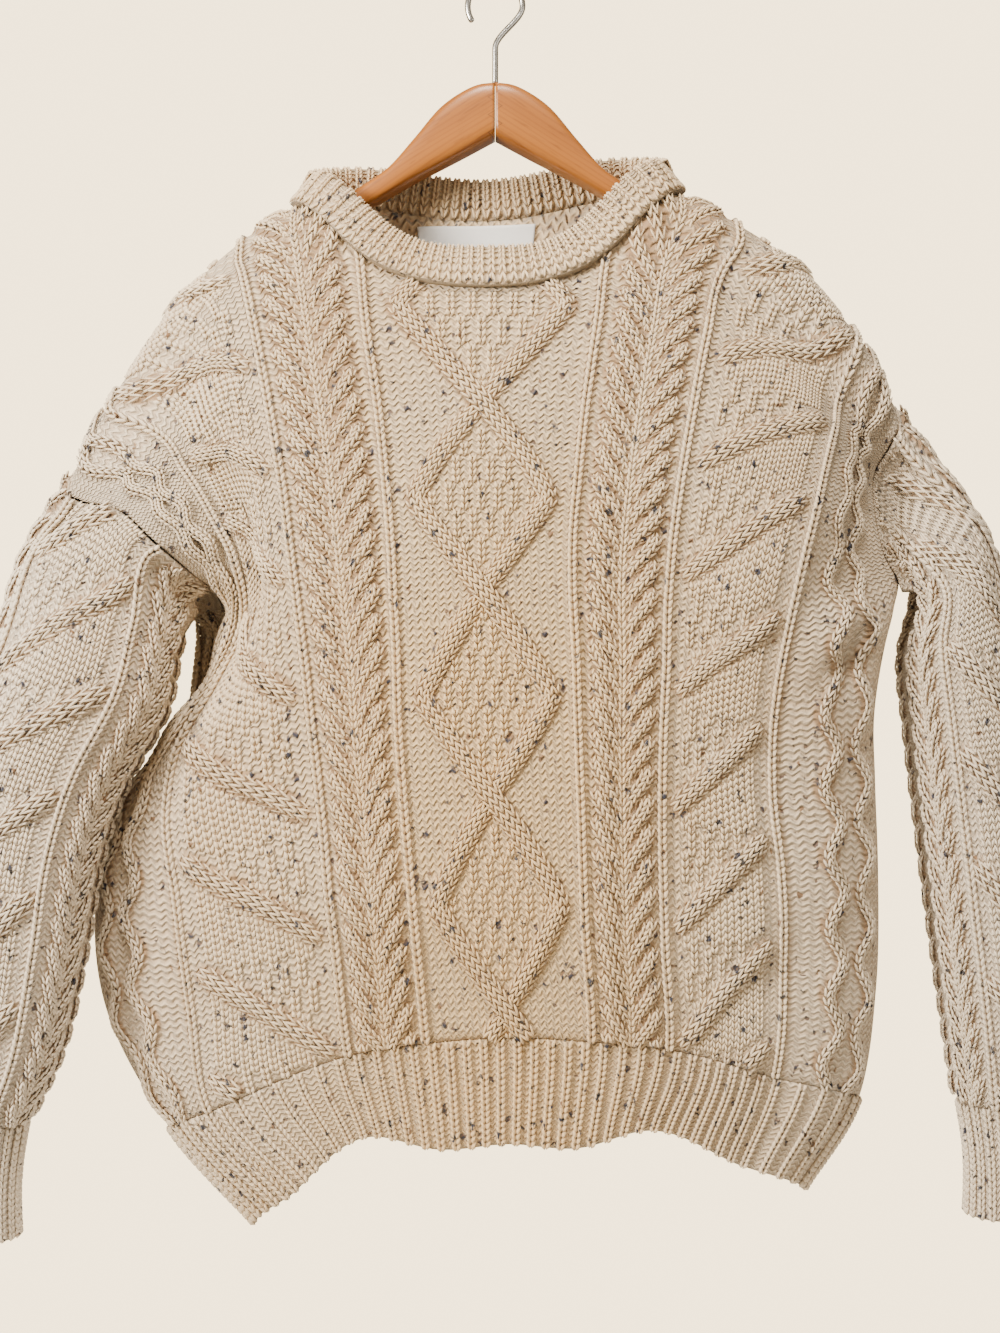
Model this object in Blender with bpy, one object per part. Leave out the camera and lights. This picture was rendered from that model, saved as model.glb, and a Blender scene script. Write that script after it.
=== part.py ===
# Hand-knit fisherman sweater hanging on a contoured wooden hanger.
# Metres, +Z up. The origin is the inside top of the hanger's hook, and the front faces -Y.
# Tables are in millimetres. Rows are rows of knitting, counted down from the shoulder seam.
# A place across a panel is its distance from the panel's centre, measured flat.

import math

import bmesh
import bpy
import numpy as np

MM = 0.001
WALL = 3.0  # thickness of the plain knit
ROW_HEIGHT = 4.4

# Gaps between sewn pieces: in mm, and in rows where rows are named
SEAM = 0.3
SEAM_GAP_ROWS = SEAM / 2 / ROW_HEIGHT
NECK_GAP_ROWS = 0.15
BAND_LIFT = 1.0
ARMHOLE_GAP = 1.6
WELT_GAP_ROWS = 0.12

# Reach of a seam's own normal, in rows or in mm from the seam
SEAM_ROWS, SEAM_WIDTH = 1.5, 6
SLEEVE_SEAM_ROWS = 4
UNDERARM_REACH = 9

# Knitting layout, flat distances from the centre of front or back
SLIM_1, SLIM_2, SLIM_3 = 59, 110, 201
SIDE = 270
HORSESHOE = 85
HORSESHOE_HALF = 19
SAW_INNER, SAW_OUTER = 122, 188
WAVY = 233
DIAMOND_HALF = 43

# Knitting layout, rows
UNDERARM_ROW = 56
WELT_ROW = 124
HEM_ROW = 141
FIRST_CROSSING = 36
DIAMOND_ROWS = 28
HORSESHOE_ROWS = 4
SAW_ROWS = 16
SAW_SLANT = 11.5
SAW_START = 8
WAVY_ROWS = 10
WAVY_SWAY = 2.6

# Knitting layout around a sleeve: flat distances from its outer fold
SLEEVE_HALF = 170
SLEEVE_SLIM_1, SLEEVE_SLIM_2 = 29, 115
SLEEVE_SAW_INNER, SLEEVE_SAW_OUTER = 38, 105
SLEEVE_UNDER = (125, 132, 151, 158)  # the horseshoe under the arm: both edges and both crests
SLEEVE_ROWS = (12, 23, 35, 49, 64, 79, 91)
MOUTH_ROWS, MOUTH_REACH = 1.5, 6  # the sleeve leaves the armhole in line with the panels
MOUTH_RELIEF_ROWS = 10  # row by which the sleeve's patterns stand up in full
SLEEVE_INNER_SHARES = (0, 0.025, 0.06, 0.11, 0.18, 0.28, 0.4, 0.55, 0.7, 0.85, 1)

# Heights of the raised stitches, and half widths of the slim wale and the wavy pair
SLIM_HEIGHT, SLIM_HALF = 2.2, 4.2
HORSESHOE_HIGH, HORSESHOE_LOW = 4.2, 2.2
STRAND_HEIGHT = 3.6
STOCKING_HEIGHT = 1.6
WAVY_HEIGHT, WAVY_HALF = 3.6, 17
UNDER_HEIGHT = 3.0
RIB_HEIGHT = 2.4

# Neck, ribs and label
NECK_HALF = 85
FRONT_NECK_ROWS, BACK_NECK_ROWS = 19, 9
BAND_HEIGHT, BAND_HALF, BAND_RIBS = 27, 4.5, 82
WELT_RIBS = 44
CUFF_RIBS, CUFF_WAIST, CUFF_TAPER = 26, 3, 0.96
LABEL_ACROSS = (-32, 24)
LABEL_ROWS = (9.6, 12.8)
LABEL_THICK = 0.8

# Colours
WOOL_COLOUR = (0.72, 0.62, 0.48)
LABEL_COLOUR = (0.85, 0.86, 0.86)
WOOD_COLOUR = (0.56, 0.25, 0.07)
STEEL_COLOUR = (0.6, 0.6, 0.6)

# Hook
WIRE = 2.1  # radius of its wire
HOOK_RADIUS = 19
HOOK_STEM_TOP = -46
HOOK_TURN = 210  # degrees of the round part

# Hanger arms where they show: distance from the middle, top, bottom, half depth, power of the
# section's rounding (1 is an ellipse, less is squarer)
ARM = (
    (0.15, -72, -109, 15, 0.4), (12, -73.5, -115.5, 15, 0.4), (24, -79, -122, 14.6, 0.4),
    (38, -89, -129.5, 14, 0.45), (56, -110, -139, 13, 0.5), (74, -130, -149.5, 12, 0.55),
    (92, -142, -160, 11, 0.65), (104, -149, -167, 10.5, 0.8),
)
ARM_REST = (124, 145, 166, 186, 200, 212)  # distances where the cloth rests on the arm
ARM_DEEP, ARM_THICK, ARM_POWER = 9.5, 21, 0.9
ARM_CLEAR = 1.0  # under the cloth
ARM_POINTS = 12

KEYS = np.array([-SIDE, -SLIM_3, -SLIM_2, -SLIM_1, 0, SLIM_1, SLIM_2, SLIM_3, SIDE], float)

# How the cloth turns over the hanger: row, distance forward, distance down
OVER_HANGER = ((0, 0, 0), (4, 17, 5), (8, 26, 19))

# Shoulder seam from side to side, one point (x, y, z) for each key column
SHOULDER = (
    (-286, -15, -340), (-261, 0, -284), (-174, 0, -180), (-97, 0, -140), (-7, 0, -133),
    (84, 0, -134), (166, 0, -168), (246, 0, -241), (277, 12, -292),
)

# Front: row, centre (x, y, z), slim rib 1 half width, slim rib 2 (half width, forward, lower),
# left slim rib 3, left side, right slim rib 3, right side, each (x, y, z)
FRONT = (
    (12, (-8, -34, -184), 85, (163, 32, 25),
     (-235, -36, -314), (-279, -43, -363), (236, -28, -285), (272, -10, -322)),
    (24, (-9, -48, -240), 78, (151, 44, 17),
     (-208, -46, -344), (-250, -53, -370), (227, -42, -318), (262, -5, -342)),
    (36, (-9, -58, -299), 69, (140, 54, 13),
     (-190, -46, -374), (-226, -56, -392), (216, -52, -356), (262, -10, -370)),
    (46, (-9, -64, -344), 64, (132, 60, 13),
     (-176, -38, -404), (-205, -35, -412), (205, -58, -396), (267, -15, -399)),
    (56, (-9, -68, -389), 60, (126, 61, 14),
     (-172, -20, -446), (-186, -2, -436), (195, -60, -447), (277, -12, -424)),
    (64, (-8, -71, -425), 59, (122, 64, 15),
     (-190, -26, -487), (-196, 6, -478), (188, -60, -484), (268, -6, -462)),
    (72, (-6, -73, -464), 59, (119, 66, 15),
     (-213, -40, -530), (-226, 2, -520), (184, -58, -521), (262, -2, -508)),
    (80, (-5, -75, -502), 59, (116, 68, 16),
     (-220, -48, -571), (-256, 0, -562), (184, -57, -558), (263, 0, -552)),
    (92, (-2, -76, -560), 58, (112, 68, 16),
     (-213, -50, -631), (-275, 0, -622), (190, -56, -613), (265, 0, -612)),
    (108, (3, -71, -641), 56, (109, 64, 16),
     (-204, -46, -704), (-270, 0, -710), (193, -51, -684), (264, 0, -695)),
    (124, (9, -58, -722), 55, (107, 52, 13),
     (-193, -36, -776), (-226, 0, -795), (188, -40, -752), (252, 0, -775)),
    (141, (9, -48, -795), 48, (92, 44, -4),
     (-140, -30, -835), (-167, 0, -862), (166, -33, -813), (214, 0, -838)),
)

# Back: row, distance behind the hanger's middle, left slim rib 3, left side, right slim rib 3, right side
BACK = (
    (12, 28, (-240, 18, -316), (-283, 12, -364), (243, 28, -284), (277, 38, -326)),
    (24, 31, (-228, 26, -350), (-268, 18, -378), (238, 33, -322), (284, 36, -351)),
    (36, 32, (-218, 28, -386), (-248, 20, -400), (228, 34, -362), (287, 30, -372)),
    (46, 33, (-212, 28, -420), (-222, 14, -420), (219, 33, -402), (282, 16, -402)),
    (56, 33, (-208, 26, -456), (-186, -2, -436), (210, 30, -447), (277, -12, -424)),
    (64, 33, (-212, 26, -494), (-196, 6, -478), (203, 29, -487), (268, -6, -462)),
    (72, 33, (-218, 26, -534), (-226, 2, -520), (199, 27, -524), (262, -2, -508)),
    (80, 32, (-221, 26, -572), (-256, 0, -562), (196, 26, -560), (263, 0, -552)),
    (92, 32, (-213, 26, -631), (-275, 0, -622), (194, 26, -613), (265, 0, -612)),
    (108, 30, (-204, 24, -704), (-270, 0, -710), (193, 24, -684), (264, 0, -695)),
    (124, 26, (-193, 20, -776), (-226, 0, -795), (188, 20, -752), (252, 0, -775)),
    (141, 22, (-140, 16, -835), (-167, 0, -862), (166, 16, -813), (214, 0, -838)),
)

# Folds: side of the garment, first (across, row), last (across, row), half width in mm, depth in mm
FRONT_FOLDS = (
    ("armpit, left", (-175, 30), (-150, 58), 16, 7),
    ("below armpit, left", (-165, 62), (-120, 84), 20, 4),
    ("under the loop, right", (243, 58), (225, 66), 11, 10),
    ("belly, left", (-150, 96), (-60, 108), 24, -4),
    ("chest, right", (225, 34), (150, 60), 22, -4),
    ("waist, right", (235, 100), (150, 116), 22, 4),
)
BACK_FOLDS = (
    ("armpit, left", (-190, 40), (-120, 70), 20, 5),
    ("armpit, right", (200, 44), (130, 74), 20, 5),
    ("waist", (-90, 100), (60, 108), 26, -4),
)


# How far down a plain column its points lie, and the extra rows of a patterned one at the shoulder
DOWN_SHARES = np.array([0, 0.02, 0.045, 0.075, 0.12, 0.19, 0.29, 0.41, 0.54, 0.68, 0.84, 1])
SHOULDER_TURN_ROWS = (1.4, 2.8, 4.6, 7.4)
EDGE = SIDE - SEAM / 2
INNER_PLACES = (0, 14, 28, 42, 55, 66, 74, 80, 84.9, 110, 140, 170, 201, 225, 248, EDGE)


def smooth(knots, values, at):
    """Soft curve through values, one for each knot along axis 1, read at the places `at`."""
    at = np.asarray(at, float)
    values = np.broadcast_to(values, (len(at),) + values.shape[1:])
    slopes = np.gradient(values, knots, axis=1)
    i = np.clip(np.searchsorted(knots, at, side="right") - 1, 0, len(knots) - 2)
    each = np.arange(len(at))
    step = (knots[i + 1] - knots[i]).reshape((-1,) + (1,) * (values.ndim - 2))
    t = ((at - knots[i]) / (knots[i + 1] - knots[i])).reshape(step.shape)
    a, b = values[each, i], values[each, i + 1]
    da, db = slopes[each, i] * step, slopes[each, i + 1] * step
    return (
        a * (2 * t**3 - 3 * t**2 + 1) + da * (t**3 - 2 * t**2 + t)
        + b * (3 * t**2 - 2 * t**3) + db * (t**3 - t**2)
    )


def ease(low, high, x):
    t = np.clip((x - low) / (high - low), 0, 1)
    return t * t * (3 - 2 * t)


SIDE_ROWS = np.array([section[0] for section in FRONT if section[0] >= UNDERARM_ROW], float)
SIDE_SEAMS = np.array([(s[5], s[7]) for s in FRONT if s[0] >= UNDERARM_ROW], float)


def over_hanger(side):
    """The first rows of a panel, from the shoulder seam over the hanger. Side is -1 at the front."""
    return [
        (row, [(x, y + side * forward, z - down) for x, y, z in SHOULDER])
        for row, forward, down in OVER_HANGER
    ]


def front_sections():
    rows = over_hanger(-1)
    for row, (x, y, z), half_1, (half_2, forward, lower), l3, l_side, r3, r_side in FRONT:
        rows.append((row, [
            l_side, l3, (x - half_2, -forward, z - lower), (x - half_1, y + 2, z - 4), (x, y, z),
            (x + half_1, y + 2, z - 3), (x + half_2, -forward, z - lower + 4), r3, r_side,
        ]))
    return rows


def back_sections():
    rows = over_hanger(1)
    for (row, behind, l3, l_side, r3, r_side), front in zip(BACK, FRONT):
        (x, _, z), half_1, (half_2, _, lower) = front[1:4]
        rows.append((row, [
            l_side, l3, (x - half_2, behind - 1, z - lower), (x - half_1, behind, z - 4), (x, behind, z),
            (x + half_1, behind, z - 3), (x + half_2, behind - 1, z - lower + 4), r3, r_side,
        ]))
    return rows


def underarm_normal(n, beside, rows_off):
    """At the underarm point the cloth folds over on itself, so its outside faces down."""
    off = np.hypot(beside, rows_off * ROW_HEIGHT) / UNDERARM_REACH
    near = np.exp(-off**2)[:, None]
    n = n / np.linalg.norm(n, axis=1)[:, None] * (1 - near) + np.array([0, 0, -1.0]) * near
    return n / np.linalg.norm(n, axis=1)[:, None]


class Panel:
    """The front or the back: its plain surface, its outward side and its folds."""

    def __init__(self, sections, side, folds):
        self.rows = np.array([row for row, _ in sections], float)
        self.table = np.array([points for _, points in sections], float)
        self.side = side
        self.folds = folds

    def plain(self, across, row):
        """Points in mm on the plain surface."""
        across, row = np.asarray(across, float), np.asarray(row, float)
        keys = smooth(self.rows, self.table[None], row)
        below = (row >= UNDERARM_ROW)[:, None, None]
        keys[:, ::8] = np.where(below, smooth(SIDE_ROWS, SIDE_SEAMS[None], row), keys[:, ::8])
        points = smooth(KEYS, keys, across)
        # Past the third slim rib the section turns a round corner into the side seam.
        u = np.clip((np.abs(across) - SLIM_3) / (SIDE - SLIM_3), 0, 1)
        right = (across > 0)[:, None]
        start = np.where(right, keys[:, 7], keys[:, 1])
        end = np.where(right, keys[:, 8], keys[:, 0])
        angle = u * math.pi / 2
        corner = np.stack([
            start[:, 0] + (end[:, 0] - start[:, 0]) * np.sin(angle),
            end[:, 1] + (start[:, 1] - end[:, 1]) * np.cos(angle),
            start[:, 2] + (end[:, 2] - start[:, 2]) * u,
        ], axis=1)
        turned = (ease(50, 60, row) * (u > 0))[:, None]
        return points * (1 - turned) + corner * turned

    def normal(self, across, row):
        step = 1.5
        low = np.clip(across, -SIDE + step, SIDE - step)
        high = np.clip(row, step / 3, HEM_ROW - step / 3)
        du = self.plain(low + step, high) - self.plain(low - step, high)
        dv = self.plain(low, high + step / 3) - self.plain(low, high - step / 3)
        n = np.cross(du, dv) * self.side
        n /= np.linalg.norm(n, axis=1)[:, None]
        # At the shoulder and side seams both panels share a normal that lies in the seam.
        shoulder = np.clip(1 - row / SEAM_ROWS, 0, 1)
        side = np.clip(1 - (SIDE - np.abs(across)) / SEAM_WIDTH, 0, 1) * ease(50, UNDERARM_ROW, row)
        n[:, 1] *= 1 - np.maximum(shoulder, side)
        return underarm_normal(n, SIDE - np.abs(across), row - UNDERARM_ROW)

    def fold(self, across, row):
        """Depth of the folds, inward from the plain surface."""
        depth = np.zeros(len(across))
        for _, (a0, r0), (a1, r1), width, deep in self.folds:
            x, y = across - a0, (row - r0) * ROW_HEIGHT
            dx, dy = a1 - a0, (r1 - r0) * ROW_HEIGHT
            along = np.clip((x * dx + y * dy) / (dx * dx + dy * dy), 0, 1)
            off = np.hypot(x - along * dx, y - along * dy)
            depth += deep * np.exp(-(off / width) ** 2) * (0.6 + 0.4 * np.sin(math.pi * along))
        edge = ease(0, 40, SIDE - np.abs(across)) * ease(0, 12, row) * ease(0, 12, HEM_ROW - row)
        return depth * edge

    def point(self, across, row, out):
        """Points in mm, `out` mm outside the plain surface."""
        across, row = np.asarray(across, float), np.asarray(row, float)
        out = np.broadcast_to(out, across.shape) - self.fold(across, row)
        return self.plain(across, row) + self.normal(across, row) * out[:, None]


FRONT_PANEL = Panel(front_sections(), -1, FRONT_FOLDS)
BACK_PANEL = Panel(back_sections(), 1, BACK_FOLDS)


def neck_row(across, neck_rows):
    """Row where a column of stitches meets the neck edge, or the shoulder seam."""
    u = min(1, abs(across) / NECK_HALF)
    return neck_rows * (1 - u**2.4) ** 0.7


class Sleeve:
    """One sleeve: rings from the armhole to the cuff. Around is 0 on the outer fold, + to the front."""

    def __init__(self, side, stations):
        self.side = side
        self.stations = stations
        self.rows = np.array((0, MOUTH_ROWS) + SLEEVE_ROWS, float)

    def armhole(self, around, reach):
        """The armhole's edge, or a line `reach` mm out from it, in line with the panels it is sewn to."""
        row = UNDERARM_ROW * np.abs(around) / SLEEVE_HALF
        edge = np.full(len(row), self.side * SIDE, float)
        inner = edge - self.side * 2
        rims = []
        for panel in (FRONT_PANEL, BACK_PANEL):
            rim = panel.plain(edge, row)
            off = rim - panel.plain(inner, row)
            off /= np.linalg.norm(off, axis=1)[:, None]
            under = ease(UNDERARM_ROW - 10, UNDERARM_ROW, row)[:, None]
            off = off * (1 - under) + np.array([self.side, 0, 0.0]) * under
            rims.append(rim + off * (ARMHOLE_GAP * (1 + 0.8 * under) + reach))
        return np.where((around > 0)[:, None], rims[0], rims[1])

    def plain(self, around, row):
        around, row = np.asarray(around, float), np.asarray(row, float)
        around = (around + SLEEVE_HALF) % (2 * SLEEVE_HALF) - SLEEVE_HALF
        rings = [self.armhole(around, 0), self.armhole(around, MOUTH_REACH)]
        angle = around / SLEEVE_HALF * math.pi
        for (x, y, z), out_half, front_half, tilt in self.stations:
            tilt = math.radians(tilt)
            outward = np.array([self.side * math.cos(tilt), 0, math.sin(tilt)])
            forward = np.array([0, -1.0, 0])
            rings.append(
                np.array([x, y, z], float)
                + outward * out_half * np.cos(angle)[:, None]
                + forward * front_half * np.sin(angle)[:, None]
            )
        return smooth(self.rows, np.stack(rings, axis=1), row)

    def normal(self, around, row):
        low = np.clip(row, 0.4, SLEEVE_ROWS[-1] - 0.4)
        du = self.plain(around + 2, low) - self.plain(around - 2, low)
        dv = self.plain(around, low + 0.4) - self.plain(around, low - 0.4)
        n = np.cross(du, dv) * self.side
        n /= np.linalg.norm(n, axis=1)[:, None]
        # The first ring leans with the panels that it is sewn to.
        around = (around + SLEEVE_HALF) % (2 * SLEEVE_HALF) - SLEEVE_HALF
        edge = np.full(len(around), self.side * SIDE, float)
        seam_row = UNDERARM_ROW * np.abs(around) / SLEEVE_HALF
        in_front, behind = FRONT_PANEL.normal(edge, seam_row), BACK_PANEL.normal(edge, seam_row)
        sewn = np.where((around > 0)[:, None], in_front, behind)
        near = np.clip(1 - row / SLEEVE_SEAM_ROWS, 0, 1)[:, None]
        return underarm_normal(n * (1 - near) + sewn * near, SLEEVE_HALF - np.abs(around), row)

    def point(self, around, row, out):
        around, row = np.asarray(around, float), np.asarray(row, float)
        out = np.broadcast_to(out, around.shape)
        return self.plain(around, row) + self.normal(around, row) * out[:, None]


# Sleeve rings: centre (x, y, z), half size outward, half size forward, tilt in degrees
LEFT_SLEEVE = Sleeve(-1, (
    ((-267, -25, -430), 60, 42, 32), ((-277, -42, -480), 60, 46, 24), ((-302, -50, -533), 58, 44, 20),
    ((-319, -55, -592), 56, 43, 12), ((-328, -55, -660), 53, 42, 8), ((-338, -53, -725), 47, 39, 12),
    ((-352, -52, -775), 39, 34, 6),
))
RIGHT_SLEEVE = Sleeve(1, (
    ((314, 2, -404), 33, 46, 54), ((321, 8, -455), 37, 56, 22), ((329, 8, -510), 39, 57, 10),
    ((338, 6, -575), 41, 54, 9), ((347, 4, -650), 41, 50, 8), ((355, 2, -720), 40, 44, 6),
    ((360, 0, -775), 38, 35, 3),
))
# From a cuff's top to its edge
LEFT_CUFF, RIGHT_CUFF = (-4, 2, -76), (3, -2, -76)


class Column:
    """A line of points down a piece: where each lies, how far it is raised, and the order it is joined in."""

    def __init__(self, across, rows, heights, order=None):
        self.across = np.broadcast_to(np.asarray(across, float), (len(rows),))
        self.rows = np.asarray(rows, float)
        self.heights = np.broadcast_to(np.asarray(heights, float), (len(rows),))
        self.order = np.asarray(order if order is not None else rows, float)
        self.sheared = order is not None


def over_shoulder(top, bottom):
    """Rows for a plain column of a panel, closer together where the cloth turns over the hanger."""
    return top + (bottom - top) * DOWN_SHARES


def fade(rows, top, bottom):
    """Relief dies out at the seams at both ends of a column."""
    return np.clip(np.minimum(rows - top, bottom - rows) / 2.0, 0, 1)


def slim_rib(place, top, bottom, spread):
    """A wale with purl on both sides. Spread gives the rows of its points between two ends."""
    rows = spread(top(place), bottom)
    return [
        Column(place - SLIM_HALF, spread(top(place - SLIM_HALF), bottom), 0),
        Column(place, rows, SLIM_HEIGHT * fade(rows, top(place), bottom)),
        Column(place + SLIM_HALF, spread(top(place + SLIM_HALF), bottom), 0),
    ]


def every(step, phase, top, bottom):
    """Rows of a repeat, with the piece's own ends."""
    first = math.ceil((top + 0.8 - phase) / step)
    last = math.floor((bottom - 0.8 - phase) / step)
    return np.array([top] + [phase + step * k for k in range(first, last + 1)] + [bottom])


def horseshoe(place, half, top, bottom):
    """Two columns of lobes that lean down to the wale between them."""
    made = []
    lobes = ((-1.0, 0, 0), (-0.55, 1, 0.6), (0, 0.45, 1.4), (0.55, 1, 0.6), (1.0, 0, 0))
    for share, high, lag in lobes:
        across = place + share * half
        end = top(across)
        rows = every(HORSESHOE_ROWS / 2, lag, end, bottom)
        crest = np.round((rows - lag) / (HORSESHOE_ROWS / 2)) % 2
        height = high * (HORSESHOE_LOW + (HORSESHOE_HIGH - HORSESHOE_LOW) * crest)
        made.append(Column(across, rows, height * fade(rows, end, bottom)))
    return made


def saw(inner, outer, side, top, bottom, extra=()):
    """Slanted strands, with raised stocking stitch below each. Inner is the lower end of a strand."""
    made = []
    phases = ((0, 0.4), (1.6, STRAND_HEIGHT), (3.6, STOCKING_HEIGHT), (10, STOCKING_HEIGHT))
    for share in (0, 0.33, 0.67, 1):
        across = side * (inner + (outer - inner) * share)
        end = top(across)
        lag = SAW_START + SAW_SLANT * (1 - share)
        marks = [(lag + SAW_ROWS * k + p, h) for k in range(-3, 9) for p, h in phases]
        marks = [(row, h) for row, h in marks if end + 0.8 < row < bottom - 0.8]
        for row in extra:
            if all(abs(row - other) > 0.9 for other, _ in marks):
                marks.append((row, STOCKING_HEIGHT / 2))
        marks.sort()
        rows = np.array([end] + [row for row, _ in marks] + [bottom])
        heights = np.array([0.0] + [h for _, h in marks] + [0.0])
        inside = 1 if 0 < share < 1 else 0.35
        heights = heights * inside * fade(rows, end, bottom)
        made.append(Column(across, rows, heights, rows - lag))
    return made


def wavy(place, side, top, bottom):
    """Two snaking strands that mirror each other."""
    made = []
    for share, high in ((-1, 0), (-0.5, 1), (0, 0.3), (0.5, 1), (1, 0)):
        sway = WAVY_SWAY * (share in (-0.5, 0.5)) * np.sign(share)
        across = place + side * share * WAVY_HALF
        rows = every(WAVY_ROWS / 3, 0, top(across), bottom)
        swing = np.cos(2 * math.pi * rows / WAVY_ROWS)
        heights = WAVY_HEIGHT * high * fade(rows, top(across), bottom)
        made.append(Column(across + side * sway * swing, rows, heights))
    return made if side > 0 else made[::-1]


def diamond(rows):
    """Half width of the diamonds at each row."""
    turn = np.abs((rows - FIRST_CROSSING) / DIAMOND_ROWS) % 1
    return DIAMOND_HALF * (1 - np.abs(2 * turn - 1))


def centre_panel(top, bottom):
    def column(side, beside, least, high, high_at_crossing, share=1):
        rows = every(DIAMOND_ROWS / 8, FIRST_CROSSING, top(DIAMOND_HALF * share), bottom)
        spread = diamond(rows)
        across = side * np.maximum((spread + beside) * share, least)
        rows[0] = top(across[0])
        crossing = np.clip(1 - spread / 9, 0, 1)
        heights = (high + (high_at_crossing - high) * crossing) * fade(rows, rows[0], bottom)
        return Column(across, rows, heights)

    halves = []
    for side in (-1, 1):
        halves.append([
            column(side, 7, 11, 0, 0),
            column(side, 0, 6, STRAND_HEIGHT, STRAND_HEIGHT),
            column(side, -7, 2.4, 0.5, STRAND_HEIGHT + 0.8),
            column(side, -7, 0.8, 0.5, STRAND_HEIGHT + 0.8, share=0.4),
        ])
    return halves[0] + halves[1][::-1]


def side_rows():
    """Rows of the points along a panel's side, which the sleeve's mouth shares."""
    rows = np.linspace(SEAM_GAP_ROWS, WELT_ROW - SEAM_GAP_ROWS, 30)
    return np.sort(np.append(rows, UNDERARM_ROW))


def top_edge(neck_rows):
    """The row where a panel starts, just below the neckband or the shoulder seam."""

    def top(across):
        gap = SEAM_GAP_ROWS if abs(across) > NECK_HALF else NECK_GAP_ROWS
        return neck_row(across, neck_rows) + gap

    return top


def panel_columns(neck_rows):
    top, bottom = top_edge(neck_rows), WELT_ROW - SEAM_GAP_ROWS
    halves = []
    for side in (-1, 1):
        half = (
            slim_rib(side * SLIM_1, top, bottom, over_shoulder)
            + horseshoe(side * HORSESHOE, HORSESHOE_HALF, top, bottom)
            + slim_rib(side * SLIM_2, top, bottom, over_shoulder)
            + saw(SAW_INNER, SAW_OUTER, side, top, bottom, SHOULDER_TURN_ROWS)
            + slim_rib(side * SLIM_3, top, bottom, over_shoulder)
            + wavy(side * WAVY, side, top, bottom)
            + [Column(side * EDGE, side_rows(), 0)]
        )
        halves.append(sorted(half, key=lambda column: column.across[0]))
    return halves[0] + centre_panel(top, bottom) + halves[1]


def inner_columns(neck_rows):
    top, bottom = top_edge(neck_rows), WELT_ROW - SEAM_GAP_ROWS
    columns = []
    for place in [-p for p in INNER_PLACES[:0:-1]] + list(INNER_PLACES):
        rows = side_rows() if abs(place) == EDGE else over_shoulder(top(place), bottom)
        columns.append(Column(place, rows, -WALL))
    return columns


class Skin:
    """Collects the points and faces of one closed wall."""

    def __init__(self):
        self.points = []
        self.faces = []

    def line(self, points):
        first = len(self.points)
        self.points.extend(points)
        return list(range(first, len(self.points)))

    def join(self, a, order_a, b, order_b, turned=False):
        """Triangles between two lines of points, taken in order."""
        i = j = 0
        while i < len(a) - 1 or j < len(b) - 1:
            if j == len(b) - 1 or (i < len(a) - 1 and order_a[i + 1] <= order_b[j + 1]):
                face = (a[i], a[i + 1], b[j])
                i += 1
            else:
                face = (a[i], b[j + 1], b[j])
                j += 1
            self.faces.append(face[::-1] if turned else face)

    def sheet(self, surface, columns, turned=False, ring=False):
        lines = [self.line(surface(c.across, c.rows, c.heights)) for c in columns]
        for k in range(len(columns) - (0 if ring else 1)):
            a, b = columns[k], columns[(k + 1) % len(columns)]
            sheared = a.sheared and b.sheared
            order_a = (a.order if sheared else a.rows)
            order_b = (b.order if sheared else b.rows)
            self.join(lines[k], order_a, lines[(k + 1) % len(columns)], order_b, turned)
        return lines

    def mesh(self, name):
        points = [tuple(float(v) * MM for v in p) for p in self.points]
        mesh = bpy.data.meshes.new(name)
        mesh.from_pydata(points, [], self.faces)
        made = bmesh.new()
        made.from_mesh(mesh)
        bmesh.ops.recalc_face_normals(made, faces=made.faces)
        made.to_mesh(mesh)
        made.free()
        mesh.shade_smooth()
        return mesh


def material(name, colour, roughness, metallic=0.0):
    made = bpy.data.materials.new(name)
    made.use_nodes = True
    shader = made.node_tree.nodes["Principled BSDF"]
    shader.inputs["Base Color"].default_value = (*colour, 1)
    shader.inputs["Roughness"].default_value = roughness
    shader.inputs["Metallic"].default_value = metallic
    return made


def place(name, mesh, colour, roughness, metallic=0.0):
    mesh.materials.append(material(name, colour, roughness, metallic))
    made = bpy.data.objects.new(name, mesh)
    bpy.context.scene.collection.objects.link(made)
    return made


def open_wall(surface, outer, inner):
    """A wall with four rims, from its outer and inner columns."""
    skin = Skin()
    out = skin.sheet(surface, outer)
    back = skin.sheet(surface, inner, turned=True)
    for end in (0, -1):
        out_order = [c.across[end] for c in outer]
        back_order = [c.across[end] for c in inner]
        skin.join([line[end] for line in out], out_order, [line[end] for line in back], back_order)
    for side in (0, -1):
        skin.join(out[side], outer[side].rows, back[side], inner[side].rows)
    return skin


def ring_wall(surface, outer, inner, lap, mouth=None):
    """A tube's wall, open at both ends, from its outer and inner columns. Lap is the whole way round.
    A mouth is the places of extra points around the first end, where other pieces are sewn on."""
    skin = Skin()
    out = skin.sheet(surface, outer, ring=True)
    back = skin.sheet(surface, inner, turned=True, ring=True)

    def loop(lines, columns, end):
        points, order = [line[end] for line in lines], [c.across[end] for c in columns]
        return points + points[:1], order + [order[0] + lap]

    ends = [(loop(out, outer, 0), loop(back, inner, 0)), (loop(out, outer, -1), loop(back, inner, -1))]
    if mouth is not None:
        edge = []
        for out_by in (0, -WALL):
            line = skin.line(surface(mouth, np.zeros(len(mouth)), out_by))
            edge.append((line + line[:1], list(mouth) + [mouth[0] + lap]))
        for near, far in zip(edge, ends[0]):
            skin.join(*near, *far)
        ends[0] = edge
    for first, second in ends:
        skin.join(*first, *second)
    return skin


def clear_scene():
    for made in list(bpy.data.objects):
        bpy.data.objects.remove(made, do_unlink=True)


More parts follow.
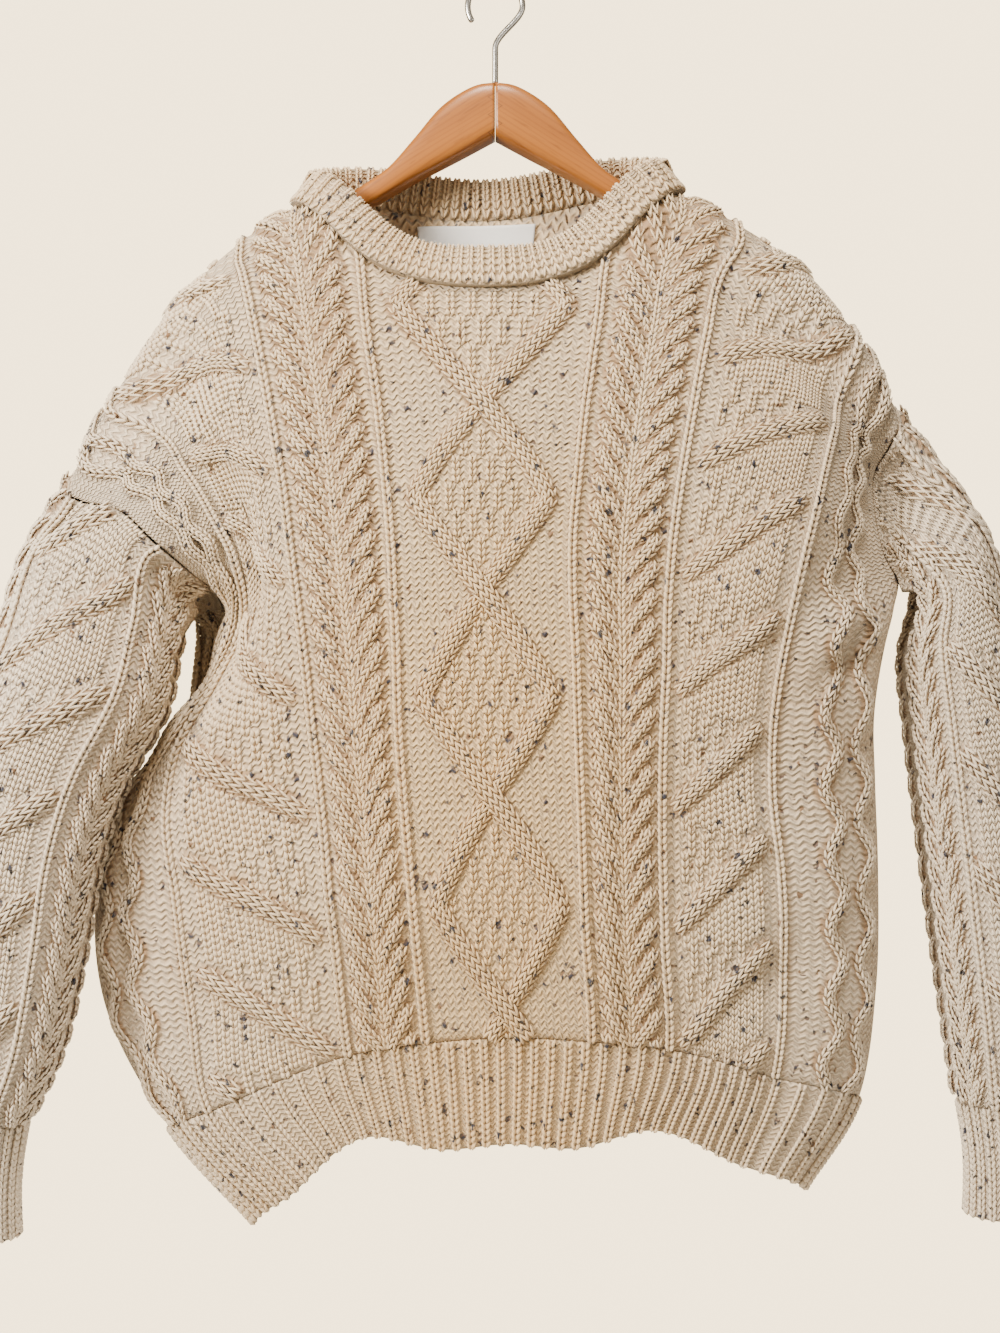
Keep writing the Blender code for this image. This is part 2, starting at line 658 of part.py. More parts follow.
def build_panels():
    for name, panel, neck_rows in (
        ("front", FRONT_PANEL, FRONT_NECK_ROWS), ("back", BACK_PANEL, BACK_NECK_ROWS),
    ):
        skin = open_wall(panel.point, panel_columns(neck_rows), inner_columns(neck_rows))
        place(name, skin.mesh(name), WOOL_COLOUR, 0.95)


def build_welts():
    """Ribbed hem, front and back."""
    top = WELT_ROW + WELT_GAP_ROWS
    rows = [top, top + 1, HEM_ROW]
    across = np.linspace(-EDGE, EDGE, 2 * WELT_RIBS + 1)
    for name, panel in (("hem_rib_front", FRONT_PANEL), ("hem_rib_back", BACK_PANEL)):
        outer = [
            Column(place, rows, np.array([0, RIB_HEIGHT, RIB_HEIGHT]) * (k % 2))
            for k, place in enumerate(across)
        ]
        inner = [Column(place, rows[::2], -WALL) for place in across[::4]]
        skin = open_wall(panel.point, outer, inner)
        place(name, skin.mesh(name), WOOL_COLOUR, 0.95)


def sleeve_columns(sleeve):
    top, bottom = MOUTH_ROWS, SLEEVE_ROWS[-1] - SEAM / ROW_HEIGHT

    def start(_):
        return top

    def along_sleeve(first, last):
        return np.linspace(first, last, 10)

    under = np.linspace(top, bottom, 12)
    columns = []
    for side in (-1, 1):
        half = (
            slim_rib(side * SLEEVE_SLIM_1, start, bottom, along_sleeve)
            + saw(SLEEVE_SAW_INNER, SLEEVE_SAW_OUTER, side, start, bottom)
            + slim_rib(side * SLEEVE_SLIM_2, start, bottom, along_sleeve)
            + [
                Column(side * place, under, crest * UNDER_HEIGHT * fade(under, top, bottom))
                for place, crest in zip(SLEEVE_UNDER, (0, 1, 1, 0))
            ]
        )
        columns.append(sorted(half, key=lambda column: column.across[0]))
    made = columns[0] + horseshoe(0, HORSESHOE_HALF, start, bottom) + columns[1]
    for column in made:
        column.heights = column.heights * ease(top, MOUTH_RELIEF_ROWS, column.rows)
    return made


def build_sleeves():
    mouth_rows = side_rows()
    mouth_rows = mouth_rows[(mouth_rows > 1) & (mouth_rows < UNDERARM_ROW - 1)]
    mouth = SLEEVE_HALF / UNDERARM_ROW * mouth_rows
    mouth = np.concatenate([[-SLEEVE_HALF], -mouth[::-1], [0], mouth])
    for name, sleeve in (("sleeve_left", LEFT_SLEEVE), ("sleeve_right", RIGHT_SLEEVE)):
        outer = sleeve_columns(sleeve)
        shares = np.array(SLEEVE_INNER_SHARES)
        rows = MOUTH_ROWS + (SLEEVE_ROWS[-1] - SEAM / ROW_HEIGHT - MOUTH_ROWS) * shares
        places = np.linspace(-SLEEVE_HALF, SLEEVE_HALF, 23, endpoint=False)
        inner = [Column(around, rows, -WALL) for around in places]
        skin = ring_wall(sleeve.point, outer, inner, 2 * SLEEVE_HALF, mouth)
        place(name, skin.mesh(name), WOOL_COLOUR, 0.95)


def build_cuffs():
    """Ribbed cuffs that carry on from each sleeve's last ring."""
    shares = (0, 0.08, 0.5, 1)
    for name, sleeve, run in (
        ("cuff_left", LEFT_SLEEVE, LEFT_CUFF), ("cuff_right", RIGHT_SLEEVE, RIGHT_CUFF),
    ):
        centre = np.array(sleeve.stations[-1][0], float)

        def surface(around, share, out, sleeve=sleeve, run=run, centre=centre):
            around, share = np.asarray(around, float), np.asarray(share, float)
            ring = sleeve.plain(around, np.full(len(around), SLEEVE_ROWS[-1]))
            off = ring - centre
            off[:, 2] = 0
            off /= np.linalg.norm(off, axis=1)[:, None]
            snug = CUFF_WAIST * np.sin(math.pi * share)
            size = 1 - (1 - CUFF_TAPER) * share
            points = centre + (ring - centre) * size[:, None] + np.array(run, float) * share[:, None]
            points[:, 2] -= SEAM * (1 - share)
            return points + off * (np.broadcast_to(out, around.shape) - snug)[:, None]

        around = np.linspace(-SLEEVE_HALF, SLEEVE_HALF, 2 * CUFF_RIBS, endpoint=False)
        raised = np.array([0, RIB_HEIGHT, RIB_HEIGHT, RIB_HEIGHT])
        outer = [Column(place, shares, raised * (k % 2)) for k, place in enumerate(around)]
        inner = [Column(place, shares[::3], -WALL) for place in around[::3]]
        skin = ring_wall(surface, outer, inner, 2 * SLEEVE_HALF)
        place(name, skin.mesh(name), WOOL_COLOUR, 0.95)


def neck_line():
    """Evenly spaced points along the neck edge, from the left shoulder round the front and the back."""
    across = NECK_HALF * np.sin(np.linspace(-math.pi / 2, math.pi / 2, 121))
    rows = np.array([neck_row(a, FRONT_NECK_ROWS) for a in across])
    front = FRONT_PANEL.plain(across, rows)
    rows = np.array([neck_row(a, BACK_NECK_ROWS) for a in across])
    back = BACK_PANEL.plain(across[::-1], rows[::-1])
    line = np.concatenate([front, back[1:]])
    gone = np.concatenate([[0], np.cumsum(np.linalg.norm(np.diff(line, axis=0), axis=1))])
    even = np.linspace(0, gone[-1], 4 * BAND_RIBS, endpoint=False)
    ring = np.stack([np.interp(even, gone, line[:, k]) for k in range(3)], axis=1)
    for _ in range(3):
        ring = (np.roll(ring, 1, axis=0) + 2 * ring + np.roll(ring, -1, axis=0)) / 4
    return ring


def build_neckband():
    """Doubled ribbed band, standing on the neck edge and rolled over at the top."""
    ring = neck_line()
    centre = ring.mean(axis=0)
    along = np.roll(ring, -1, axis=0) - np.roll(ring, 1, axis=0)
    along /= np.linalg.norm(along, axis=1)[:, None]
    inward = centre - ring
    inward[:, 2] = 0
    inward /= np.linalg.norm(inward, axis=1)[:, None]
    lean = 0.15 + 0.75 * np.abs(inward[:, 0]) ** 3
    rise = np.array([0, 0, 1.0]) + inward * lean[:, None]
    rise -= along * (rise * along).sum(axis=1)[:, None]
    rise /= np.linalg.norm(rise, axis=1)[:, None]
    out = np.cross(along, rise)
    out *= -np.sign((out * inward).sum(axis=1))[:, None]

    def surface(place, share, height):
        k = np.asarray(np.round(place), int) % len(ring)
        share = np.asarray(share, float)
        base = ring[k] + rise[k] * BAND_LIFT
        up = BAND_HEIGHT * np.sin(np.clip(share, 0, 1) * math.pi / 2) ** 0.8
        thick = BAND_HALF * np.sqrt(np.clip(1 - np.clip((share - 0.6) / 0.4, 0, 1) ** 2, 0, 1))
        thick = np.where(np.asarray(height) < 0, -thick, thick) + np.maximum(height, 0)
        return base + rise[k] * up[:, None] + out[k] * (thick + BAND_HALF - WALL)[:, None]

    shares = (0.0, 0.1, 0.8, 1.0)
    raised = np.array([0.2, 1, 1, 0.2]) * RIB_HEIGHT * 0.8
    outer = [
        Column(place, shares, raised * (k % 2))
        for k, place in enumerate(np.arange(0, len(ring), 2))
    ]
    inner = [Column(place, shares[:3], -WALL) for place in np.arange(0, len(ring), 8)]
    skin = ring_wall(surface, outer, inner, len(ring))
    place("neckband", skin.mesh("neckband"), WOOL_COLOUR, 0.95)


def build_label():
    """Woven label inside the back neck, left blank."""
    across = np.linspace(*LABEL_ACROSS, 7)
    sides = [
        [Column(place, LABEL_ROWS, -WALL - SEAM - depth) for place in across]
        for depth in (0, LABEL_THICK)
    ]
    skin = open_wall(BACK_PANEL.point, *sides)
    place("label", skin.mesh("label"), LABEL_COLOUR, 0.6)


def arm_sections(side):
    """Rounded sections from the joint to the tip. Under the sweater the arm follows its shoulder seam."""
    places = np.array([p for p in INNER_PLACES if 60 < p < 230], float) * side
    seat = FRONT_PANEL.point(places, np.zeros(len(places)), -WALL)
    rows = list(ARM)
    for x in ARM_REST:
        top = np.interp(x, np.abs(seat[:, 0]), seat[:, 2]) - ARM_CLEAR
        rows.append((x, top, top - ARM_THICK, ARM_DEEP, ARM_POWER))
    x, top, bottom, deep, power = rows[-1]
    rows.append((x + 4, top - 10, bottom + 2, deep * 0.6, power))
    return rows


def build_hanger():
    """Two wooden arms that meet in a joint in the middle."""
    for name, side in (("hanger_arm_left", -1), ("hanger_arm_right", 1)):
        skin = Skin()
        rings = []
        for x, top, bottom, deep, power in arm_sections(side):
            turn = np.linspace(0, 2 * math.pi, ARM_POINTS, endpoint=False) + math.pi / ARM_POINTS
            cos, sin = np.cos(turn), np.sin(turn)
            y = deep * np.sign(cos) * np.abs(cos) ** power
            z = (top + bottom) / 2 + (top - bottom) / 2 * np.sign(sin) * np.abs(sin) ** power
            rings.append(skin.line([(side * x, a, b) for a, b in zip(y, z)]))
        for a, b in zip(rings, rings[1:]):
            for k in range(ARM_POINTS):
                n = (k + 1) % ARM_POINTS
                skin.faces += [(a[k], a[n], b[k]), (b[k], a[n], b[n])]
        skin.faces += [tuple(rings[0]), tuple(rings[-1])]
        place(name, skin.mesh(name), WOOD_COLOUR, 0.4)


def build_hook():
    """Steel hook that stands on the joint of the arms and opens to the left."""
    middle = WIRE - HOOK_RADIUS
    foot = ARM[0][1] + SEAM
    path = [(0, foot), (0, (foot + HOOK_STEM_TOP) / 2), (0, HOOK_STEM_TOP)]
    bend = 5
    for k in range(1, bend):
        t = k / bend
        path.append((HOOK_RADIUS * t * t * (3 - 2 * t), HOOK_STEM_TOP + (middle - HOOK_STEM_TOP) * t))
    for angle in np.radians(np.arange(0, HOOK_TURN + 1, 15)):
        path.append((HOOK_RADIUS * math.cos(angle), middle + HOOK_RADIUS * math.sin(angle)))
    curve = bpy.data.curves.new("hook", "CURVE")
    curve.dimensions = "3D"
    curve.bevel_depth = WIRE * MM
    curve.bevel_resolution = 2
    curve.use_fill_caps = True
    spline = curve.splines.new("POLY")
    spline.points.add(len(path) - 1)
    for point, (x, z) in zip(spline.points, path):
        point.co = (x * MM, 0, z * MM, 1)
    place("hook", curve, STEEL_COLOUR, 0.25, 1.0)


clear_scene()
build_panels()
build_welts()
build_sleeves()
build_cuffs()
build_neckband()
build_label()
build_hanger()
build_hook()
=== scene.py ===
import math

import bmesh
import bpy
import numpy as np
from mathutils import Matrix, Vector


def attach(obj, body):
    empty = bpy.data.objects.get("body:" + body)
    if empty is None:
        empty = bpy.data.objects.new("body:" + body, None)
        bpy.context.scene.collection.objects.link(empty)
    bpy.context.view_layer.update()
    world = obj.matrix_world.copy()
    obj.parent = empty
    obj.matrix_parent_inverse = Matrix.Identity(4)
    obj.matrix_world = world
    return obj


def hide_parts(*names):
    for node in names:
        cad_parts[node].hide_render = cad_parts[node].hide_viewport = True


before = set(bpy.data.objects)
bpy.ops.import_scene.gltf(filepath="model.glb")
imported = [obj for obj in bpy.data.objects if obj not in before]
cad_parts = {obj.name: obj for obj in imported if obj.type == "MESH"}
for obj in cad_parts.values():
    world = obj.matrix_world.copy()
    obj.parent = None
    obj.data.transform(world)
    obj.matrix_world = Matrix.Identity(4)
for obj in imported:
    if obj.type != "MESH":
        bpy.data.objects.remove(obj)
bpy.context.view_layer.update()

# Front and back panels, the cloth itself.
# Chunky tweed wool, hand knitted: reverse stocking stitch under raised patterns, each panel one piece.
# They are sewn together at the shoulders and sides. Tables are in millimetres and rows of knitting.
MM = 0.001
ROW_HEIGHT = 4.4
STITCH = 5.3
SEAM = 0.3
SEAM_ROWS, SEAM_WIDTH = 1.5, 6
UNDERARM_REACH = 9
SLIM_1, SLIM_2, SLIM_3 = 59, 110, 201
SIDE = 270
EDGE = SIDE - SEAM / 2
UNDERARM_ROW, WELT_ROW, HEM_ROW = 56, 124, 141
PANEL_BOTTOM = WELT_ROW - SEAM / 2 / ROW_HEIGHT
NECK_HALF = 85
FRONT_NECK_ROWS, BACK_NECK_ROWS = 19, 9
SHELL_DEPTH = 2.2  # of the thin cloth under the raised stitches
SLEEVE_HALF = 170  # half the way round a sleeve

KEYS = np.array([-SIDE, -SLIM_3, -SLIM_2, -SLIM_1, 0, SLIM_1, SLIM_2, SLIM_3, SIDE], float)

# How the cloth turns over the hanger: row, distance forward, distance down
OVER_HANGER = ((0, 0, 0), (4, 17, 5), (8, 26, 19))

# Shoulder seam from side to side, one point (x, y, z) for each key column
SHOULDER = (
    (-286, -15, -340), (-261, 0, -284), (-174, 0, -180), (-97, 0, -140), (-7, 0, -133),
    (84, 0, -134), (166, 0, -168), (246, 0, -241), (277, 12, -292),
)

# Front: row, centre (x, y, z), slim rib 1 half width, slim rib 2 (half width, forward, lower),
# left slim rib 3, left side, right slim rib 3, right side, each (x, y, z)
FRONT = (
    (12, (-8, -34, -184), 85, (163, 32, 25),
     (-235, -36, -314), (-279, -43, -363), (236, -28, -285), (272, -10, -322)),
    (24, (-9, -48, -240), 78, (151, 44, 17),
     (-208, -46, -344), (-250, -53, -370), (227, -42, -318), (262, -5, -342)),
    (36, (-9, -58, -299), 69, (140, 54, 13),
     (-190, -46, -374), (-226, -56, -392), (216, -52, -356), (262, -10, -370)),
    (46, (-9, -64, -344), 64, (132, 60, 13),
     (-176, -38, -404), (-205, -35, -412), (205, -58, -396), (267, -15, -399)),
    (56, (-9, -68, -389), 60, (126, 61, 14),
     (-172, -20, -446), (-186, -2, -436), (195, -60, -447), (277, -12, -424)),
    (64, (-8, -71, -425), 59, (122, 64, 15),
     (-190, -26, -487), (-196, 6, -478), (188, -60, -484), (268, -6, -462)),
    (72, (-6, -73, -464), 59, (119, 66, 15),
     (-213, -40, -530), (-226, 2, -520), (184, -58, -521), (262, -2, -508)),
    (80, (-5, -75, -502), 59, (116, 68, 16),
     (-220, -48, -571), (-256, 0, -562), (184, -57, -558), (263, 0, -552)),
    (92, (-2, -76, -560), 58, (112, 68, 16),
     (-213, -50, -631), (-275, 0, -622), (190, -56, -613), (265, 0, -612)),
    (108, (3, -71, -641), 56, (109, 64, 16),
     (-204, -46, -704), (-270, 0, -710), (193, -51, -684), (264, 0, -695)),
    (124, (9, -58, -722), 55, (107, 52, 13),
     (-193, -36, -776), (-226, 0, -795), (188, -40, -752), (252, 0, -775)),
    (141, (9, -48, -795), 48, (92, 44, -4),
     (-140, -30, -835), (-167, 0, -862), (166, -33, -813), (214, 0, -838)),
)

# Back: row, distance behind the hanger's middle, left slim rib 3, left side, right slim rib 3, right side
BACK = (
    (12, 28, (-240, 18, -316), (-283, 12, -364), (243, 28, -284), (277, 38, -326)),
    (24, 31, (-228, 26, -350), (-268, 18, -378), (238, 33, -322), (284, 36, -351)),
    (36, 32, (-218, 28, -386), (-248, 20, -400), (228, 34, -362), (287, 30, -372)),
    (46, 33, (-212, 28, -420), (-222, 14, -420), (219, 33, -402), (282, 16, -402)),
    (56, 33, (-208, 26, -456), (-186, -2, -436), (210, 30, -447), (277, -12, -424)),
    (64, 33, (-212, 26, -494), (-196, 6, -478), (203, 29, -487), (268, -6, -462)),
    (72, 33, (-218, 26, -534), (-226, 2, -520), (199, 27, -524), (262, -2, -508)),
    (80, 32, (-221, 26, -572), (-256, 0, -562), (196, 26, -560), (263, 0, -552)),
    (92, 32, (-213, 26, -631), (-275, 0, -622), (194, 26, -613), (265, 0, -612)),
    (108, 30, (-204, 24, -704), (-270, 0, -710), (193, 24, -684), (264, 0, -695)),
    (124, 26, (-193, 20, -776), (-226, 0, -795), (188, 20, -752), (252, 0, -775)),
    (141, 22, (-140, 16, -835), (-167, 0, -862), (166, 16, -813), (214, 0, -838)),
)

# Folds: side of the garment, first (across, row), last (across, row), half width in mm, depth in mm
FRONT_FOLDS = (
    ("armpit, left", (-175, 30), (-150, 58), 16, 7),
    ("below armpit, left", (-165, 62), (-120, 84), 20, 4),
    ("under the loop, right", (243, 58), (225, 66), 11, 10),
    ("belly, left", (-150, 96), (-60, 108), 24, -4),
    ("chest, right", (225, 34), (150, 60), 22, -4),
    ("waist, right", (235, 100), (150, 116), 22, 4),
)
BACK_FOLDS = (
    ("armpit, left", (-190, 40), (-120, 70), 20, 5),
    ("armpit, right", (200, 44), (130, 74), 20, 5),
    ("waist", (-90, 100), (60, 108), 26, -4),
)

def smooth(knots, values, at):
    """Soft curve through values, one for each knot along axis 1, read at the places `at`."""
    at = np.asarray(at, float)
    values = np.broadcast_to(values, (len(at),) + values.shape[1:])
    slopes = np.gradient(values, knots, axis=1)
    i = np.clip(np.searchsorted(knots, at, side="right") - 1, 0, len(knots) - 2)
    each = np.arange(len(at))
    step = (knots[i + 1] - knots[i]).reshape((-1,) + (1,) * (values.ndim - 2))
    t = ((at - knots[i]) / (knots[i + 1] - knots[i])).reshape(step.shape)
    a, b = values[each, i], values[each, i + 1]
    da, db = slopes[each, i] * step, slopes[each, i + 1] * step
    return (
        a * (2 * t**3 - 3 * t**2 + 1) + da * (t**3 - 2 * t**2 + t)
        + b * (3 * t**2 - 2 * t**3) + db * (t**3 - t**2)
    )


def ease(low, high, x):
    t = np.clip((x - low) / (high - low), 0, 1)
    return t * t * (3 - 2 * t)


SIDE_ROWS = np.array([section[0] for section in FRONT if section[0] >= UNDERARM_ROW], float)
SIDE_SEAMS = np.array([(s[5], s[7]) for s in FRONT if s[0] >= UNDERARM_ROW], float)


def over_hanger(side):
    """The first rows of a panel, from the shoulder seam over the hanger. Side is -1 at the front."""
    return [
        (row, [(x, y + side * forward, z - down) for x, y, z in SHOULDER])
        for row, forward, down in OVER_HANGER
    ]


def front_sections():
    rows = over_hanger(-1)
    for row, (x, y, z), half_1, (half_2, forward, lower), l3, l_side, r3, r_side in FRONT:
        rows.append((row, [
            l_side, l3, (x - half_2, -forward, z - lower), (x - half_1, y + 2, z - 4), (x, y, z),
            (x + half_1, y + 2, z - 3), (x + half_2, -forward, z - lower + 4), r3, r_side,
        ]))
    return rows


def back_sections():
    rows = over_hanger(1)
    for (row, behind, l3, l_side, r3, r_side), front in zip(BACK, FRONT):
        (x, _, z), half_1, (half_2, _, lower) = front[1:4]
        rows.append((row, [
            l_side, l3, (x - half_2, behind - 1, z - lower), (x - half_1, behind, z - 4), (x, behind, z),
            (x + half_1, behind, z - 3), (x + half_2, behind - 1, z - lower + 4), r3, r_side,
        ]))
    return rows


def underarm_normal(n, beside, rows_off):
    """At the underarm point the cloth folds over on itself, so its outside faces down."""
    off = np.hypot(beside, rows_off * ROW_HEIGHT) / UNDERARM_REACH
    near = np.exp(-off**2)[:, None]
    n = n / np.linalg.norm(n, axis=1)[:, None] * (1 - near) + np.array([0, 0, -1.0]) * near
    return n / np.linalg.norm(n, axis=1)[:, None]


class Panel:
    """The front or the back: its plain surface, its outward side and its folds."""

    def __init__(self, sections, side, folds):
        self.rows = np.array([row for row, _ in sections], float)
        self.table = np.array([points for _, points in sections], float)
        self.side = side
        self.folds = folds

    def plain(self, across, row):
        """Points in mm on the plain surface."""
        across, row = np.asarray(across, float), np.asarray(row, float)
        keys = smooth(self.rows, self.table[None], row)
        below = (row >= UNDERARM_ROW)[:, None, None]
        keys[:, ::8] = np.where(below, smooth(SIDE_ROWS, SIDE_SEAMS[None], row), keys[:, ::8])
        points = smooth(KEYS, keys, across)
        # Past the third slim rib the section turns a round corner into the side seam.
        u = np.clip((np.abs(across) - SLIM_3) / (SIDE - SLIM_3), 0, 1)
        right = (across > 0)[:, None]
        start = np.where(right, keys[:, 7], keys[:, 1])
        end = np.where(right, keys[:, 8], keys[:, 0])
        angle = u * math.pi / 2
        corner = np.stack([
            start[:, 0] + (end[:, 0] - start[:, 0]) * np.sin(angle),
            end[:, 1] + (start[:, 1] - end[:, 1]) * np.cos(angle),
            start[:, 2] + (end[:, 2] - start[:, 2]) * u,
        ], axis=1)
        turned = (ease(50, 60, row) * (u > 0))[:, None]
        return points * (1 - turned) + corner * turned

    def normal(self, across, row):
        step = 1.5
        low = np.clip(across, -SIDE + step, SIDE - step)
        high = np.clip(row, step / 3, HEM_ROW - step / 3)
        du = self.plain(low + step, high) - self.plain(low - step, high)
        dv = self.plain(low, high + step / 3) - self.plain(low, high - step / 3)
        n = np.cross(du, dv) * self.side
        n /= np.linalg.norm(n, axis=1)[:, None]
        # At the shoulder and side seams both panels share a normal that lies in the seam.
        shoulder = np.clip(1 - row / SEAM_ROWS, 0, 1)
        side = np.clip(1 - (SIDE - np.abs(across)) / SEAM_WIDTH, 0, 1) * ease(50, UNDERARM_ROW, row)
        n[:, 1] *= 1 - np.maximum(shoulder, side)
        return underarm_normal(n, SIDE - np.abs(across), row - UNDERARM_ROW)

    def fold(self, across, row):
        """Depth of the folds, inward from the plain surface."""
        depth = np.zeros(len(across))
        for _, (a0, r0), (a1, r1), width, deep in self.folds:
            x, y = across - a0, (row - r0) * ROW_HEIGHT
            dx, dy = a1 - a0, (r1 - r0) * ROW_HEIGHT
            along = np.clip((x * dx + y * dy) / (dx * dx + dy * dy), 0, 1)
            off = np.hypot(x - along * dx, y - along * dy)
            depth += deep * np.exp(-(off / width) ** 2) * (0.6 + 0.4 * np.sin(math.pi * along))
        edge = ease(0, 40, SIDE - np.abs(across)) * ease(0, 12, row) * ease(0, 12, HEM_ROW - row)
        return depth * edge

    def point(self, across, row, out):
        """Points in mm, `out` mm outside the plain surface."""
        across, row = np.asarray(across, float), np.asarray(row, float)
        out = np.broadcast_to(out, across.shape) - self.fold(across, row)
        return self.plain(across, row) + self.normal(across, row) * out[:, None]


FRONT_PANEL = Panel(front_sections(), -1, FRONT_FOLDS)
BACK_PANEL = Panel(back_sections(), 1, BACK_FOLDS)


def neck_row(across, neck_rows):
    """Row where a column of stitches meets the neck edge, or the shoulder seam."""
    u = min(1, abs(across) / NECK_HALF)
    return neck_rows * (1 - u**2.4) ** 0.7


def top_edge(neck_rows):
    """The row where a panel starts, just below the neckband or the shoulder seam."""

    def top(across):
        gap = SEAM / 2 / ROW_HEIGHT if abs(across) > NECK_HALF else 0.02
        return neck_row(across, neck_rows) + gap

    return top


class Stitches:
    """Gathers the knit stitches of one piece, and a map of how high they raise the cloth under them."""

    STEP_ACROSS, STEP_ROWS = 1.325, 0.25

    def __init__(self, surface, first, last, bottom, top):
        self.surface, self.top, self.bottom = surface, top, bottom
        self.across = np.arange(first, last + self.STEP_ACROSS, self.STEP_ACROSS)
        self.rows = np.arange(0, bottom + 2 * self.STEP_ROWS, self.STEP_ROWS)
        self.tops = np.array([top(a) for a in self.across])
        self.height = np.zeros((len(self.across), len(self.rows)))
        self.strands = []

    def strand(self, across, rows, out, wales=1, width=6.6, crown=0.6, fit=False):
        """V-shaped stitches down a path, in some wales of that width in mm. Fit scales with the cloth."""
        rows = np.asarray(rows, float)
        across = np.broadcast_to(across, rows.shape).astype(float)
        out = np.broadcast_to(out, rows.shape).astype(float)
        inside = (rows > np.interp(across, self.across, self.tops) + 0.35) & (rows < self.bottom - 0.3)
        if inside.sum() > 1:
            self.strands.append((across[inside], rows[inside], out[inside], wales, width, crown, fit))
            self.stamp(across[inside], rows[inside], out[inside], wales * width / 2)

    def stamp(self, across, rows, out, half):
        """Lifts the cloth under a strand, so that only its stitches stand out of it."""
        reach_a, reach_r = int(half / self.STEP_ACROSS) + 2, int(half / ROW_HEIGHT / self.STEP_ROWS) + 2
        for a, r, h in zip(across, rows, out):
            i, j = int((a - self.across[0]) / self.STEP_ACROSS), int(r / self.STEP_ROWS)
            cut = (slice(max(i - reach_a, 0), i + reach_a + 1), slice(max(j - reach_r, 0), j + reach_r + 1))
            off = np.hypot(self.across[cut[0], None] - a, (self.rows[None, cut[1]] - r) * ROW_HEIGHT)
            patch = max(h - 0.9, 0) * np.clip(1.5 - 1.2 * off / half, 0, 1)
            self.height[cut] = np.maximum(self.height[cut], patch)

    def raised(self, across, rows):
        """Height of the map at those places."""
        x, y = (across - self.across[0]) / self.STEP_ACROSS, rows / self.STEP_ROWS
        i = np.clip(x.astype(int), 0, len(self.across) - 2)
        j = np.clip(y.astype(int), 0, len(self.rows) - 2)
        s, t = np.clip(x - i, 0, 1), np.clip(y - j, 0, 1)
        low = self.height[i, j] * (1 - s) + self.height[i + 1, j] * s
        high = self.height[i, j + 1] * (1 - s) + self.height[i + 1, j + 1] * s
        return low * (1 - t) + high * t

    def legs(self, fit):
        """Places, directions along and outward, and sizes of every leg of the stitches of that kind."""
        strands = [strand for strand in self.strands if strand[-1] == fit]
        across, rows, out = (np.concatenate([strand[k] for strand in strands]) for k in range(3))
        all_points = self.surface(across, rows, out)
        all_normals = self.surface(across, rows, out + 1) - all_points
        all_normals /= np.linalg.norm(all_normals, axis=1)[:, None]
        beyond = self.surface(across + 2, rows, out) - self.surface(across - 2, rows, out)
        stretch = np.linalg.norm(beyond, axis=1) / 4
        made, first = [], 0
        slant, lean = math.radians(17), 0.35
        for strand in strands:
            wales, width, crown = strand[3:6]
            part = slice(first, first + len(strand[0]))
            first += len(strand[0])
            points, normal = all_points[part], all_normals[part]
            along = np.gradient(points, axis=0)
            step = np.linalg.norm(along, axis=1)
            along /= step[:, None]
            beside = np.cross(along, normal)
            beside /= np.linalg.norm(beside, axis=1)[:, None]
            wide = width * (stretch[part] if fit else np.ones(len(points)))
            for k in range(2 * wales):
                share, leg = (k + 0.5 - wales) / wales, (-1, 1)[k % 2]
                made.append((
                    points + beside * (share * wales / 2 * wide)[:, None] - normal * crown * share**2,
                    along * math.cos(slant) - beside * leg * math.sin(slant),
                    normal * math.cos(lean * share) + beside * math.sin(lean * share),
                    np.stack([step * 1.6, wide * 0.57, wide * 0.5], axis=1),
                ))
        return [np.concatenate(values) for values in zip(*made)]


def slim_rib(stitches, place):
    rows = np.arange(0.5, stitches.bottom, 1.0)
    stitches.strand(place, rows, 2.3, width=6.8)


def horseshoe(stitches, place, half):
    """Overlapping lobes, two stitches wide, that sweep from both sides down to a wale in the middle."""
    t = np.linspace(0, 1, 8)
    out = np.interp(t, (0, 0.15, 0.45, 0.8, 1), (1.6, 4.4, 5.4, 3.4, 1.0))
    for start in np.arange(-6, stitches.bottom, 4.0):
        for side in (-1, 1):
            across = place + side * half * (0.80 - 0.62 * ease(0.1, 1, t))
            stitches.strand(across, start + 6.6 * t, out, wales=2, width=half * 0.25, crown=3.2)
    stitches.strand(place, np.arange(0.5, stitches.bottom, 1.0), 1.3, width=half * 0.27)


def saw(stitches, inner, outer, side):
    """Slanted strands with plain stitches below each, and broken rib above."""
    wide = outer - inner
    for start in np.arange(SAW_START - 4 * SAW_ROWS, stitches.bottom, SAW_ROWS):
        t = np.linspace(-0.02, 1.02, 14)
        across = side * (outer - wide * t)
        out = 4.2 * np.clip(np.minimum(t + 0.12, 1.12 - t) / 0.2, 0.3, 1)
        stitches.strand(across, start + SAW_SLANT * t, out, wales=3, width=4.6, crown=3.2)
    for place in np.arange(inner + 4, outer - 2, STITCH):
        share = (place - inner) / wide
        rows = np.arange(0.5, stitches.bottom, 1.0)
        below = (rows - SAW_START - SAW_SLANT * (1 - share)) % SAW_ROWS
        column = int(round((place - inner - 4) / STITCH))
        plain = (below > 1.8) & (below < 3 + 11 * share)
        broken = (below >= 3 + 11 * share) & (below < SAW_ROWS - 1.6) & ((rows // 4 + column) % 2 < 1)
        for shown, out in ((plain, 0.7), (broken, 0.9)):
            runs = np.split(rows[shown], np.nonzero(np.diff(rows[shown]) > 1.5)[0] + 1)
            for run in runs:
                stitches.strand(side * place, run, out, width=STITCH * 0.97, crown=0.2, fit=True)


